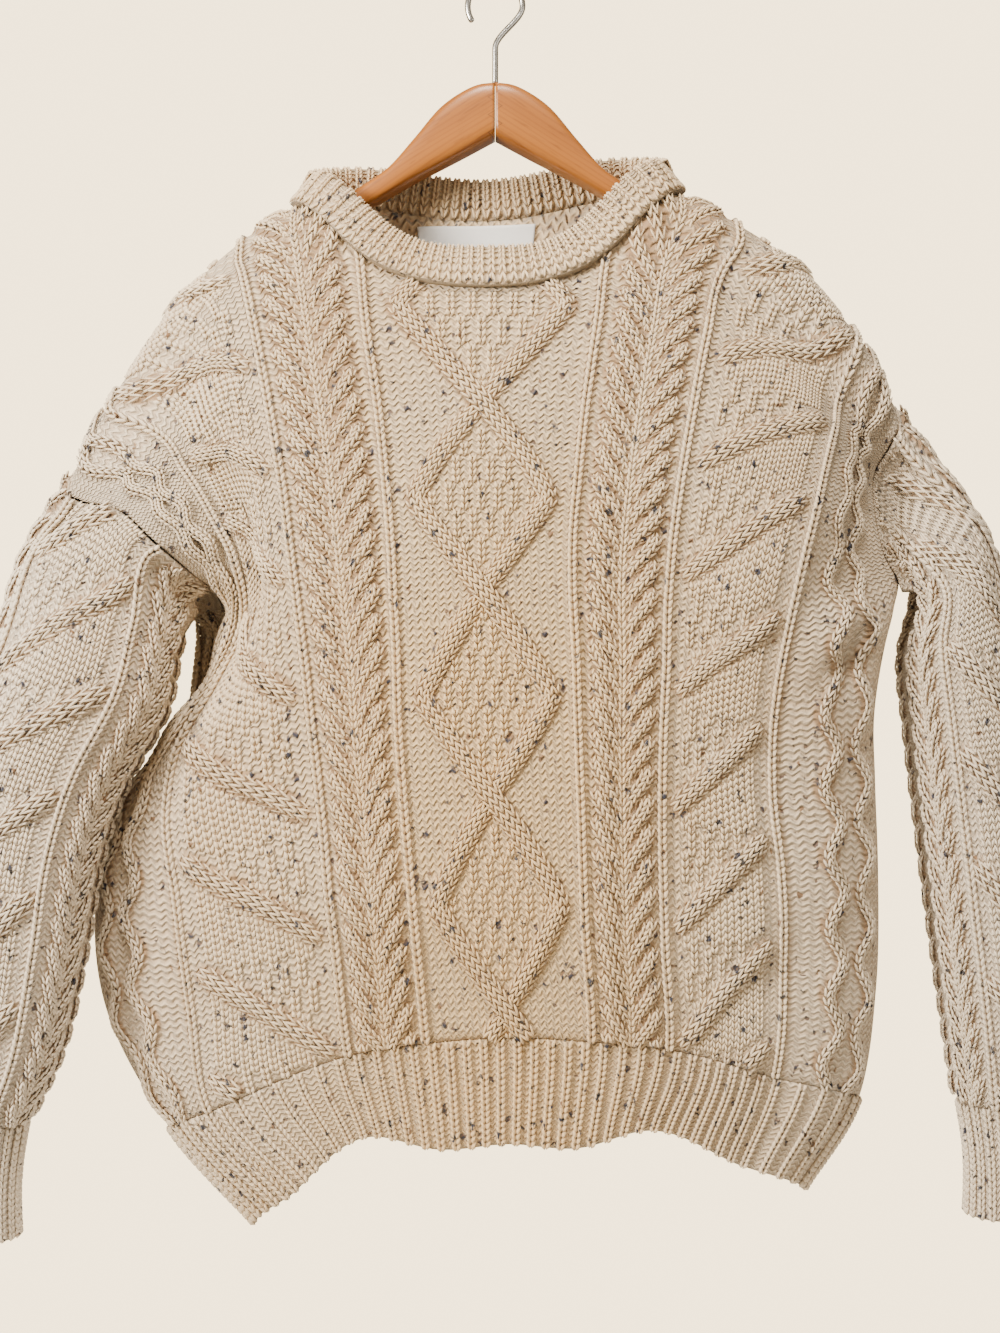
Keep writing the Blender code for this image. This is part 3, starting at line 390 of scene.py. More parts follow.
def wavy(stitches, place, side):
    """Two snaking strands that mirror each other."""
    rows = np.arange(0.5, stitches.bottom, 1.0)
    wave = np.cos(2 * math.pi * rows / WAVY_ROWS)
    swing = 8.4 + 3.8 * wave
    for which in (-1, 1):
        stitches.strand(side * (place + which * swing), rows, 3.8 + 0.8 * wave, wales=2, width=4.4, crown=2.2)


def diamonds(stitches, half, first, period):
    """Two strands that cross over and under each other, with broken rib between them."""
    rows = np.arange(0.5, stitches.bottom, 1.0)
    turn = (rows - first) / period
    lap = np.floor(turn)
    spread = half * (1 - np.abs(2 * (turn - lap) - 1) ** 1.15)
    for which in (-1, 1):
        across = which * np.where(lap % 2 == 0, 1, -1) * spread
        near = np.exp(-((spread / 9) ** 2))
        over = np.where(np.round(turn) % 2 == 0, 1, -1) * which
        stitches.strand(across, rows, 3.9 + 1.8 * near * over, wales=3, width=4.4, crown=3.0)
    for column in range(-7, 8):
        place = column * STITCH
        shown = (abs(place) < spread - 8.5) & ((rows // 4 + column) % 2 < 1)
        for run in np.split(rows[shown], np.nonzero(np.diff(rows[shown]) > 1.5)[0] + 1):
            stitches.strand(place, run, 0.9, width=STITCH * 0.97, crown=0.2, fit=True)


# Where the patterns lie across a panel, and how long each repeat is in rows
HORSESHOE, HORSESHOE_HALF = 85, 19
SAW_INNER, SAW_OUTER = 122, 188
SAW_ROWS, SAW_SLANT, SAW_START = 16, 18, 8
WAVY, WAVY_ROWS = 233, 10
FIRST_CROSSING, DIAMOND_ROWS, DIAMOND_HALF = 36, 28, 43


def grid_faces(ids):
    """Quads over a grid of point numbers."""
    corners = (ids[:-1, :-1], ids[1:, :-1], ids[1:, 1:], ids[:-1, 1:])
    return np.stack(corners, axis=-1).reshape(-1, 4).tolist()


def zipped(a, order_a, b, order_b):
    """Triangles between two lines of points, taken in order."""
    faces = []
    i = j = 0
    while i < len(a) - 1 or j < len(b) - 1:
        if j == len(b) - 1 or (i < len(a) - 1 and order_a[i + 1] <= order_b[j + 1]):
            faces.append((a[i], a[i + 1], b[j]))
            i += 1
        else:
            faces.append((a[i], b[j + 1], b[j]))
            j += 1
    return faces


def add_mesh(name, points, faces, material, knit=None, crest=None):
    """A smooth mesh object from points in mm, faces outward, with its knitting coordinates."""
    mesh = bpy.data.meshes.new(name)
    mesh.from_pydata((np.asarray(points) * MM).tolist(), [], faces)
    made = bmesh.new()
    made.from_mesh(mesh)
    bmesh.ops.recalc_face_normals(made, faces=made.faces)
    made.to_mesh(mesh)
    made.free()
    mesh.shade_smooth()
    if knit is not None:
        attribute = mesh.attributes.new("knit", "FLOAT_VECTOR", "POINT")
        attribute.data.foreach_set("vector", np.asarray(knit, np.float32).ravel())
    if crest is not None:
        attribute = mesh.attributes.new("crest", "FLOAT", "POINT")
        attribute.data.foreach_set("value", np.asarray(crest, np.float32))
    mesh.materials.append(material)
    made = bpy.data.objects.new(name, mesh)
    bpy.context.scene.collection.objects.link(made)
    return made


def cloth(name, stitches, across, count, material, ring=False):
    """A thin closed shell of knitting: an outside that rises under the stitches and a plain inside."""
    top, bottom, surface = stitches.top, stitches.bottom, stitches.surface
    shares = np.linspace(0, 1, count)
    few_a, few_shares = across[::6], shares[::5]
    if not ring:
        few_a = np.append(few_a[few_a < across[-1]], across[-1])
    few_shares = np.append(few_shares[few_shares < 1], 1)
    points, knit, crest, grids = [], [], [], []
    for places, down, outside in ((across, shares, True), (few_a, few_shares, False)):
        tops = np.array([top(a) for a in places])
        a = np.repeat(places, len(down))
        rows = (tops[:, None] + (bottom - tops)[:, None] * down).ravel()
        edge = np.minimum(rows - np.repeat(tops, len(down)), bottom - rows)
        raised = stitches.raised(a, rows) * np.clip(edge / 1.2, 0, 1)
        height = raised if outside else np.full(len(a), -SHELL_DEPTH)
        grids.append(sum(len(p) for p in points) + np.arange(len(a)).reshape(len(places), len(down)))
        points.append(surface(a, rows, height))
        knit.append(np.stack([a / STITCH, rows, np.ones(len(a))], axis=1))
        # Crest drops under and beside the raised stitches, where the wool shader paints shade
        crest.append(np.clip(0.6 - 0.5 * raised, 0.05, 0.6) if outside else np.full(len(a), 0.5))
    faces = []
    for ids in grids:
        faces += grid_faces(np.vstack([ids, ids[:1]]) if ring else ids)
    out_ids, in_ids = grids
    for end in (0, -1):
        one, two = out_ids[:, end].tolist(), in_ids[:, end].tolist()
        order_1, order_2 = list(across), list(few_a)
        if ring:
            one, two = one + one[:1], two + two[:1]
            order_1, order_2 = order_1 + [across[0] + 2 * SLEEVE_HALF], order_2 + [few_a[0] + 2 * SLEEVE_HALF]
        faces += zipped(one, order_1, two, order_2)
    if not ring:
        for end in (0, -1):
            faces += zipped(out_ids[end].tolist(), shares, in_ids[end].tolist(), few_shares)
    points, knit, crest = (np.concatenate(values) for values in (points, knit, crest))
    return add_mesh(name, points, faces, material, knit, crest)


def node(tree, kind, values=None, **settings):
    """A new node with its settings and inputs. An input is a value or another node's socket."""
    made = tree.nodes.new(kind)
    for key, value in settings.items():
        setattr(made, key, value)
    for key, value in (values or {}).items():
        if isinstance(value, bpy.types.NodeSocket):
            tree.links.new(value, made.inputs[key])
        else:
            made.inputs[key].default_value = value
    return made


def maths(tree, operation, *values):
    return node(tree, "ShaderNodeMath", dict(enumerate(values)), operation=operation).outputs[0]


def blended(tree, share, one, two):
    """One colour turned into another."""
    return node(tree, "ShaderNodeMix", {0: share, 6: one, 7: two}, data_type="RGBA").outputs[2]


def eased(tree, value, low, high, to_low=0.0, to_high=1.0):
    values = {"Value": value, "From Min": low, "From Max": high, "To Min": to_low, "To Max": to_high}
    return node(tree, "ShaderNodeMapRange", values, interpolation_type="SMOOTHSTEP").outputs[0]


def noise(tree, vector, scale, detail=2.0, output="Fac"):
    made = node(tree, "ShaderNodeTexNoise", {"Vector": vector, "Scale": scale, "Detail": detail})
    return made.outputs[output]


def wool_group():
    """Colour and surface height of the tweed wool, from where a point is and how the stitches lie."""
    tree = bpy.data.node_groups.new("tweed wool", "ShaderNodeTree")
    tree.interface.new_socket("Colour", in_out="OUTPUT", socket_type="NodeSocketColor")
    tree.interface.new_socket("Height", in_out="OUTPUT", socket_type="NodeSocketFloat")
    place = node(tree, "ShaderNodeTexCoord").outputs["Object"]
    knit = node(tree, "ShaderNodeAttribute", attribute_name="knit").outputs["Vector"]
    crest = node(tree, "ShaderNodeAttribute", attribute_name="crest").outputs["Fac"]
    split = node(tree, "ShaderNodeSeparateXYZ", {0: place})
    x, z = split.outputs[0], split.outputs[2]

    # Soft patches, and a warmer tone in the lower middle. The paler, cooler sides are painted cool light, as
    # on the outer sleeves
    patches = eased(tree, noise(tree, place, 6.0, 3.0), 0.35, 0.65)
    colour = blended(tree, patches, (0.86, 0.70, 0.49, 1), (0.77, 0.59, 0.38, 1))
    # Painted light: paler, cooler colour towards the sides and the sleeves
    aside = eased(tree, maths(tree, "ABSOLUTE", x), 0.14, 0.34)
    colour = blended(tree, maths(tree, "MULTIPLY", aside, 0.7), colour, (0.87, 0.78, 0.65, 1))
    inner = eased(tree, maths(tree, "ABSOLUTE", x), 0.17, 0.02)
    middle = maths(tree, "MULTIPLY", inner, eased(tree, z, -0.25, -0.5, 0.25, 0.95))
    colour = blended(tree, middle, colour, (0.86, 0.60, 0.30, 1))
    mottle = eased(tree, noise(tree, place, 150.0, 4.0), 0.3, 0.7)
    colour = blended(tree, maths(tree, "MULTIPLY", mottle, 0.25), colour, (0.60, 0.50, 0.37, 1))

    # Painted shade: darker, browner colour down between and under the stitches, where the crest is low
    painted_hollow_shade = eased(tree, crest, 0.55, 0.05, 0.0, 0.85)
    colour = blended(tree, painted_hollow_shade, colour, (0.30, 0.17, 0.08, 1))

    # Flecks: long blobs of dark and brown wool, spun in at random
    wander = noise(tree, place, 260.0, 1.0, "Color")
    bent = node(tree, "ShaderNodeVectorMath", {0: wander, "Scale": 0.006}, operation="SCALE").outputs[0]
    bent = node(tree, "ShaderNodeVectorMath", {0: place, 1: bent}, operation="ADD").outputs[0]
    for scale, stretch, keep, wide, dark in (
        (165.0, (1.0, 1.0, 0.6), 0.83, 0.28, (0.03, 0.032, 0.055, 1)),
        (230.0, (0.6, 1.0, 1.0), 0.86, 0.26, (0.05, 0.042, 0.045, 1)),
        (150.0, (1.0, 1.0, 0.7), 0.93, 0.24, (0.22, 0.12, 0.06, 1)),
    ):
        spot = node(tree, "ShaderNodeVectorMath", {0: bent, 1: stretch}, operation="MULTIPLY").outputs[0]
        cells = node(tree, "ShaderNodeTexVoronoi", {"Vector": spot, "Scale": scale})
        chance = node(tree, "ShaderNodeSeparateColor", {0: cells.outputs["Color"]}).outputs[0]
        shown = maths(tree, "GREATER_THAN", chance, keep)
        blob = eased(tree, cells.outputs["Distance"], wide + 0.06, wide - 0.06)
        colour = blended(tree, maths(tree, "MULTIPLY", shown, blob), colour, dark)

    # Purl bumps in staggered waves, and the felted fibres over everything
    parts = node(tree, "ShaderNodeSeparateXYZ", {0: knit})
    around = maths(tree, "COSINE", maths(tree, "MULTIPLY", parts.outputs[0], 2 * math.pi))
    uneven = maths(tree, "MULTIPLY", noise(tree, place, 110.0, 2.0), 1.1)
    row = maths(tree, "ADD", parts.outputs[1], uneven)
    row = maths(tree, "ADD", row, maths(tree, "MULTIPLY", around, 0.22))
    wave = maths(tree, "COSINE", maths(tree, "MULTIPLY", row, 2 * math.pi))
    wave = maths(tree, "MULTIPLY", maths(tree, "ADD", wave, 1.0), parts.outputs[2])
    purl = maths(tree, "MULTIPLY", wave, 0.55)
    fibres = maths(tree, "MULTIPLY", noise(tree, place, 900.0, 3.0), 0.30)
    lumps = maths(tree, "MULTIPLY", noise(tree, place, 260.0, 2.0), 0.45)
    height = maths(tree, "ADD", purl, maths(tree, "ADD", fibres, lumps))
    # Painted shade: darker brown in the troughs between the purl bumps
    painted_purl_trough_shade = maths(tree, "SUBTRACT", parts.outputs[2], maths(tree, "MULTIPLY", wave, 0.5))
    painted_purl_trough_shade = maths(tree, "MULTIPLY", painted_purl_trough_shade, 0.45)
    colour = blended(tree, painted_purl_trough_shade, colour, (0.32, 0.19, 0.10, 1))
    node(tree, "NodeGroupOutput", {"Colour": colour, "Height": height})
    return tree


def finish(name, values):
    """A new material, its node tree and its shader, with plain values for some of the shader's inputs."""
    made = bpy.data.materials.new(name)
    made.use_nodes = True
    shader = made.node_tree.nodes["Principled BSDF"]
    for key, value in values.items():
        shader.inputs[key].default_value = value
    return made, made.node_tree, shader


def bumped(tree, shader, height, distance, strength):
    bump = node(tree, "ShaderNodeBump", {"Height": height, "Distance": distance, "Strength": strength})
    tree.links.new(bump.outputs[0], shader.inputs["Normal"])


def wool_material():
    made, tree, shader = finish("wool", {
        "Roughness": 0.95, "Specular IOR Level": 0.15, "Sheen Weight": 0.35, "Sheen Roughness": 0.6,
        "Sheen Tint": (0.95, 0.90, 0.80, 1),
    })
    group = node(tree, "ShaderNodeGroup", node_tree=wool_group())
    tree.links.new(group.outputs["Colour"], shader.inputs["Base Color"])
    bumped(tree, shader, group.outputs["Height"], 0.0018, 1.0)
    return made


WOOL = wool_material()


def leg_mesh(sides, rings):
    """One leg of a stitch: a soft spindle of yarn along X, outward along Z, one unit in each direction."""
    # Crest: 1 on top of the leg, low on its underside and tips, where the wool shader paints shade
    points, faces, crest = [(-0.5, 0, -0.1)], [], [0.35]
    for x, size in rings:
        for k in range(sides):
            turn = math.pi / 2 + 2 * math.pi * (k + (0.5 if sides == 4 else 0)) / sides
            points.append((x, 0.5 * size * math.cos(turn), 0.5 * size * math.sin(turn)))
            crest.append(0.5 + 0.5 * math.sin(turn))
    points.append((0.5, 0, -0.25))
    crest.append(0.15)
    last = len(points) - 1
    for k in range(sides):
        n = (k + 1) % sides
        faces.append((0, 1 + n, 1 + k))
        for ring in range(len(rings) - 1):
            a, b = 1 + ring * sides, 1 + (ring + 1) * sides
            faces.append((a + k, a + n, b + n, b + k))
        faces.append((last - sides + k, last - sides + n, last))
    return [tuple(c / MM for c in point) for point in points], faces, crest


def stitch_tree():
    """Puts a leg of yarn on every point, turned by its along and outward directions."""
    tree = bpy.data.node_groups.new("knit stitches", "GeometryNodeTree")
    tree.interface.new_socket("Places", in_out="INPUT", socket_type="NodeSocketGeometry")
    tree.interface.new_socket("Leg", in_out="INPUT", socket_type="NodeSocketObject")
    tree.interface.new_socket("Wool", in_out="INPUT", socket_type="NodeSocketMaterial")
    tree.interface.new_socket("Unevenness", in_out="INPUT", socket_type="NodeSocketFloat")
    tree.interface.new_socket("Stitches", in_out="OUTPUT", socket_type="NodeSocketGeometry")
    given = node(tree, "NodeGroupInput")
    named = {
        key: node(tree, "GeometryNodeInputNamedAttribute", {"Name": key}, data_type="FLOAT_VECTOR").outputs[0]
        for key in ("along", "outward", "size")
    }
    turn = node(tree, "FunctionNodeAxesToRotation", primary_axis="X", secondary_axis="Z")
    tree.links.new(named["along"], turn.inputs[0])
    tree.links.new(named["outward"], turn.inputs[1])
    least = maths(tree, "SUBTRACT", 1.0, given.outputs["Unevenness"])
    most = maths(tree, "ADD", 1.0, given.outputs["Unevenness"])
    vary = node(tree, "FunctionNodeRandomValue", data_type="FLOAT_VECTOR")
    tree.links.new(least, vary.inputs["Min"])
    tree.links.new(most, vary.inputs["Max"])
    vary.inputs["Seed"].default_value = 11
    size = node(tree, "ShaderNodeVectorMath", {0: named["size"], 1: vary.outputs[0]}, operation="MULTIPLY")
    leg = node(tree, "GeometryNodeObjectInfo", {"Object": given.outputs["Leg"]})
    put = node(tree, "GeometryNodeInstanceOnPoints", {
        "Points": given.outputs["Places"], "Instance": leg.outputs["Geometry"],
        "Rotation": turn.outputs[0], "Scale": size.outputs[0],
    })
    real = node(tree, "GeometryNodeRealizeInstances", {0: put.outputs[0]})
    wool = {"Geometry": real.outputs[0], "Material": given.outputs["Wool"]}
    wool = node(tree, "GeometryNodeSetMaterial", wool)
    node(tree, "NodeGroupOutput", {0: wool.outputs[0]})
    return tree


STITCH_TREE = stitch_tree()


CABLE_LEG = leg_mesh(3, ((-0.24, 0.86), (0.2, 1.0)))
PLAIN_LEG = leg_mesh(4, ((0.0, 1.0),))


def knitted(name, stitches, fit=False, unevenness=0.06):
    """The stitches gathered for one piece, as one mesh: its cables, or the plain ones that fit the cloth."""
    points, faces, crest = PLAIN_LEG if fit else CABLE_LEG
    leg = add_mesh("leg", points, faces, WOOL, crest=crest)
    mesh = bpy.data.meshes.new(name + "_places")
    places, along, outward, sizes = stitches.legs(fit)
    mesh.from_pydata((places * MM).tolist(), [], [])
    for key, values in (("along", along), ("outward", outward), ("size", sizes * MM)):
        attribute = mesh.attributes.new(key, "FLOAT_VECTOR", "POINT")
        attribute.data.foreach_set("vector", values.astype(np.float32).ravel())
    holder = bpy.data.objects.new(name + "_places", mesh)
    bpy.context.scene.collection.objects.link(holder)
    modifier = holder.modifiers.new("stitches", "NODES")
    modifier.node_group = STITCH_TREE
    given = {"Leg": leg, "Wool": WOOL, "Unevenness": unevenness}
    for item in STITCH_TREE.interface.items_tree:
        if item.in_out == "INPUT" and item.name in given:
            modifier[item.identifier] = given[item.name]
    graph = bpy.context.evaluated_depsgraph_get()
    made_mesh = bpy.data.meshes.new_from_object(holder.evaluated_get(graph))
    for key in ("along", "outward", "size"):
        if key in made_mesh.attributes:
            made_mesh.attributes.remove(made_mesh.attributes[key])
    made_mesh.name = name
    holder.modifiers.clear()
    bpy.data.objects.remove(holder)
    bpy.data.objects.remove(leg)
    made = bpy.data.objects.new(name, made_mesh)
    bpy.context.scene.collection.objects.link(made)
    return made


def finish_knit(node_name, plain, raised):
    """Ties a piece's cloth and stitches to the frame."""
    for made in [plain] + raised:
        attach(made, "root")
    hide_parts(node_name)


for name, panel, neck_rows in (
    ("front", FRONT_PANEL, FRONT_NECK_ROWS), ("back", BACK_PANEL, BACK_NECK_ROWS),
):
    stitches = Stitches(panel.point, -SIDE, SIDE, PANEL_BOTTOM, top_edge(neck_rows))
    for side in (-1, 1):
        for place in (SLIM_1, SLIM_2, SLIM_3):
            slim_rib(stitches, side * place)
        horseshoe(stitches, side * HORSESHOE, HORSESHOE_HALF)
        saw(stitches, SAW_INNER, SAW_OUTER, side)
        wavy(stitches, WAVY, side)
    diamonds(stitches, DIAMOND_HALF, FIRST_CROSSING, DIAMOND_ROWS)
    raised = [knitted(name + "_cables", stitches), knitted(name + "_ground", stitches, fit=True)]
    plain = cloth(name + "_cloth", stitches, np.linspace(-EDGE, EDGE, 247), 100, WOOL)
    finish_knit(name, plain, raised)

# Welts at the hem, front and back: 1x1 rib, knitted on below each panel and left open at the bottom.
# Every second wale stands up as a smooth rib.
WELT_RIBS = 44
WELT_TOP = WELT_ROW + 0.12
for name, panel in (("hem_rib_front", FRONT_PANEL), ("hem_rib_back", BACK_PANEL)):
    stitches = Stitches(panel.point, -SIDE, SIDE, HEM_ROW, lambda across: WELT_TOP)
    rows = np.arange(WELT_TOP + 0.5, HEM_ROW, 1.0)
    places = np.linspace(-EDGE, EDGE, 2 * WELT_RIBS + 1)
    for place in places[1::2]:
        stitches.strand(place, rows, 1.5, width=6.6)
    raised = knitted(name + "_ribs", stitches)
    plain = cloth(name + "_cloth", stitches, np.linspace(-EDGE, EDGE, 265), 17, WOOL)
    finish_knit(name, plain, [raised])

# Sleeves: knitted like the body, a tube each, sewn into the armholes.
# A horseshoe runs down the outside, with slim ribs and slanted strands on both sides of it.
SLEEVE_ROWS = (12, 23, 35, 49, 64, 79, 91)
MOUTH_ROWS, MOUTH_REACH = 1.5, 6
ARMHOLE_GAP = 1.6
SLEEVE_SEAM_ROWS = 4


class Sleeve:
    """One sleeve: rings from the armhole to the cuff. Around is 0 on the outer fold, + to the front."""

    def __init__(self, side, stations):
        self.side = side
        self.stations = stations
        self.rows = np.array((0, MOUTH_ROWS) + SLEEVE_ROWS, float)

    def armhole(self, around, reach):
        """The armhole's edge, or a line `reach` mm out from it, in line with the panels it is sewn to."""
        row = UNDERARM_ROW * np.abs(around) / SLEEVE_HALF
        edge = np.full(len(row), self.side * SIDE, float)
        inner = edge - self.side * 2
        rims = []
        for panel in (FRONT_PANEL, BACK_PANEL):
            rim = panel.plain(edge, row)
            off = rim - panel.plain(inner, row)
            off /= np.linalg.norm(off, axis=1)[:, None]
            under = ease(UNDERARM_ROW - 10, UNDERARM_ROW, row)[:, None]
            off = off * (1 - under) + np.array([self.side, 0, 0.0]) * under
            rims.append(rim + off * (ARMHOLE_GAP * (1 + 0.8 * under) + reach))
        return np.where((around > 0)[:, None], rims[0], rims[1])

    def plain(self, around, row):
        around, row = np.asarray(around, float), np.asarray(row, float)
        around = (around + SLEEVE_HALF) % (2 * SLEEVE_HALF) - SLEEVE_HALF
        rings = [self.armhole(around, 0), self.armhole(around, MOUTH_REACH)]
        angle = around / SLEEVE_HALF * math.pi
        for (x, y, z), out_half, front_half, tilt in self.stations:
            tilt = math.radians(tilt)
            outward = np.array([self.side * math.cos(tilt), 0, math.sin(tilt)])
            forward = np.array([0, -1.0, 0])
            rings.append(
                np.array([x, y, z], float)
                + outward * out_half * np.cos(angle)[:, None]
                + forward * front_half * np.sin(angle)[:, None]
            )
        return smooth(self.rows, np.stack(rings, axis=1), row)

    def normal(self, around, row):
        low = np.clip(row, 0.4, SLEEVE_ROWS[-1] - 0.4)
        du = self.plain(around + 2, low) - self.plain(around - 2, low)
        dv = self.plain(around, low + 0.4) - self.plain(around, low - 0.4)
        n = np.cross(du, dv) * self.side
        n /= np.linalg.norm(n, axis=1)[:, None]
        # The first ring leans with the panels that it is sewn to.
        around = (around + SLEEVE_HALF) % (2 * SLEEVE_HALF) - SLEEVE_HALF
        edge = np.full(len(around), self.side * SIDE, float)
        seam_row = UNDERARM_ROW * np.abs(around) / SLEEVE_HALF
        in_front, behind = FRONT_PANEL.normal(edge, seam_row), BACK_PANEL.normal(edge, seam_row)
        sewn = np.where((around > 0)[:, None], in_front, behind)
        near = np.clip(1 - row / SLEEVE_SEAM_ROWS, 0, 1)[:, None]
        return underarm_normal(n * (1 - near) + sewn * near, SLEEVE_HALF - np.abs(around), row)

    def point(self, around, row, out):
        around, row = np.asarray(around, float), np.asarray(row, float)
        out = np.broadcast_to(out, around.shape)
        return self.plain(around, row) + self.normal(around, row) * out[:, None]


# Sleeve rings: centre (x, y, z), half size outward, half size forward, tilt in degrees
LEFT_SLEEVE = Sleeve(-1, (
    ((-267, -25, -430), 60, 42, 32), ((-277, -42, -480), 60, 46, 24), ((-302, -50, -533), 58, 44, 20),
    ((-319, -55, -592), 56, 43, 12), ((-328, -55, -660), 53, 42, 8), ((-338, -53, -725), 47, 39, 12),
    ((-352, -52, -775), 39, 34, 6),
))
RIGHT_SLEEVE = Sleeve(1, (
    ((314, 2, -404), 33, 46, 54), ((321, 8, -455), 37, 56, 22), ((329, 8, -510), 39, 57, 10),
    ((338, 6, -575), 41, 54, 9), ((347, 4, -650), 41, 50, 8), ((355, 2, -720), 40, 44, 6),
    ((360, 0, -775), 38, 35, 3),
))

SLEEVE_BOTTOM = SLEEVE_ROWS[-1] - SEAM / ROW_HEIGHT
SLEEVE_SLIM_1, SLEEVE_SLIM_2 = 29, 115
SLEEVE_SAW_INNER, SLEEVE_SAW_OUTER = 38, 105
UNDER, UNDER_HALF = 141.5, 16  # the horseshoe under the arm
for name, sleeve in (("sleeve_left", LEFT_SLEEVE), ("sleeve_right", RIGHT_SLEEVE)):
    stitches = Stitches(sleeve.point, -SLEEVE_HALF, SLEEVE_HALF, SLEEVE_BOTTOM, lambda around: 0.0)
    horseshoe(stitches, 0, HORSESHOE_HALF)
    for side in (-1, 1):
        slim_rib(stitches, side * SLEEVE_SLIM_1)
        saw(stitches, SLEEVE_SAW_INNER, SLEEVE_SAW_OUTER, side)
        slim_rib(stitches, side * SLEEVE_SLIM_2)
        horseshoe(stitches, side * UNDER, UNDER_HALF)
    raised = [knitted(name + "_cables", stitches), knitted(name + "_ground", stitches, fit=True)]
    around = np.linspace(-SLEEVE_HALF, SLEEVE_HALF, 168, endpoint=False)
    plain = cloth(name + "_cloth", stitches, around, 86, WOOL, ring=True)
    finish_knit(name, plain, raised)

# Cuffs: 1x1 rib, knitted on at the end of each sleeve, drawn in a little and left open.
# Each is a ring of ribs that narrows to the wrist.
CUFF_RIBS, CUFF_ROWS, CUFF_WAIST, CUFF_TAPER = 26, 17, 3, 0.96
LEFT_CUFF, RIGHT_CUFF = (-4, 2, -76), (3, -2, -76)  # from a cuff's top to its edge
for name, sleeve, run in (("cuff_left", LEFT_SLEEVE, LEFT_CUFF), ("cuff_right", RIGHT_SLEEVE, RIGHT_CUFF)):
    def cuff_surface(around, rows, out, sleeve=sleeve, run=run):
        centre = np.array(sleeve.stations[-1][0], float)
        around, share = np.asarray(around, float), np.asarray(rows, float) / CUFF_ROWS
        ring = sleeve.plain(around, np.full(len(around), SLEEVE_ROWS[-1]))
        off = ring - centre
        off[:, 2] = 0
        off /= np.linalg.norm(off, axis=1)[:, None]
        snug = CUFF_WAIST * np.sin(math.pi * share)
        size = 1 - (1 - CUFF_TAPER) * share
        points = centre + (ring - centre) * size[:, None] + np.array(run, float) * share[:, None]
        points[:, 2] -= SEAM * (1 - share)
        return points + off * (np.broadcast_to(out, around.shape) - snug)[:, None]

    stitches = Stitches(cuff_surface, -SLEEVE_HALF, SLEEVE_HALF, CUFF_ROWS, lambda around: 0.0)
    step = SLEEVE_HALF / CUFF_RIBS
    for k in range(CUFF_RIBS):
        stitches.strand(-SLEEVE_HALF + step * (2 * k + 1), np.arange(0.5, CUFF_ROWS, 1.0), 1.4, width=6.0)
    raised = knitted(name + "_ribs", stitches)
    around = np.linspace(-SLEEVE_HALF, SLEEVE_HALF, 156, endpoint=False)
    plain = cloth(name + "_cloth", stitches, around, 18, WOOL, ring=True)
    finish_knit(name, plain, [raised])

# Neckband: 1x1 rib picked up round the neck, doubled over and sewn down inside.
# It stands up on the neck edge and is round at the top.
BAND_HEIGHT, BAND_HALF, BAND_RIBS, BAND_LIFT = 27, 4.5, 82, -0.8
BAND_STEPS = 4 * BAND_RIBS


def neck_ring():
    """Evenly spaced points along the neck edge, from the left shoulder round the front and the back."""
    across = NECK_HALF * np.sin(np.linspace(-math.pi / 2, math.pi / 2, 121))
    rows = np.array([neck_row(a, FRONT_NECK_ROWS) for a in across])
    front = FRONT_PANEL.plain(across, rows)
    rows = np.array([neck_row(a, BACK_NECK_ROWS) for a in across])
    back = BACK_PANEL.plain(across[::-1], rows[::-1])
    line = np.concatenate([front, back[1:]])
    gone = np.concatenate([[0], np.cumsum(np.linalg.norm(np.diff(line, axis=0), axis=1))])
    even = np.linspace(0, gone[-1], BAND_STEPS, endpoint=False)
    ring = np.stack([np.interp(even, gone, line[:, k]) for k in range(3)], axis=1)
    for _ in range(3):
        ring = (np.roll(ring, 1, axis=0) + 2 * ring + np.roll(ring, -1, axis=0)) / 4
    return ring


RING = neck_ring()
RING_CENTRE = RING.mean(axis=0)
RING_ALONG = np.roll(RING, -1, axis=0) - np.roll(RING, 1, axis=0)
RING_ALONG /= np.linalg.norm(RING_ALONG, axis=1)[:, None]
INWARD = RING_CENTRE - RING
INWARD[:, 2] = 0
INWARD /= np.linalg.norm(INWARD, axis=1)[:, None]
RISE = np.array([0, 0, 1.0]) + INWARD * (0.15 + 0.75 * np.abs(INWARD[:, 0]) ** 3)[:, None]
RISE -= RING_ALONG * (RISE * RING_ALONG).sum(axis=1)[:, None]
RISE /= np.linalg.norm(RISE, axis=1)[:, None]
OUT = np.cross(RING_ALONG, RISE)
OUT *= -np.sign((OUT * INWARD).sum(axis=1))[:, None]


def round_ring(values, place):
    """Reads a value of the ring between its points."""
    place = np.asarray(place, float) % BAND_STEPS
    k = place.astype(int)
    share = (place - k)[:, None]
    return values[k] * (1 - share) + values[(k + 1) % BAND_STEPS] * share


def band_profile(share):
    """How far up and out the doubled band is: share 0 is its outer foot, 1 the top, 2 its inner foot."""
    side = np.where(share <= 1, 1.0, -1.0)
    climb = np.where(share <= 1, share, 2 - share)
    up = BAND_HEIGHT * np.sin(np.clip(climb, 0, 1) * math.pi / 2) ** 0.8
    thick = BAND_HALF * np.sqrt(np.clip(1 - np.clip((climb - 0.6) / 0.4, 0, 1) ** 2, 0, 1))
    return up, side * thick + BAND_HALF - 3.0


BAND_ROWS = 14.0


def band_surface(place, rows, out):
    share = np.asarray(rows, float) / BAND_ROWS * 2
    up, thick = band_profile(share)
    up_1, thick_1 = band_profile(np.clip(share - 0.02, 0, 2))
    up_2, thick_2 = band_profile(np.clip(share + 0.02, 0, 2))
    away = np.stack([up_2 - up_1, thick_2 - thick_1], axis=1)
    away /= np.linalg.norm(away, axis=1)[:, None]
    out = np.broadcast_to(out, share.shape)
    up = up - away[:, 1] * out
    thick = thick + away[:, 0] * out
    base = round_ring(RING, place) + round_ring(RISE, place) * (BAND_LIFT + up)[:, None]
    return base + round_ring(OUT, place) * thick[:, None]


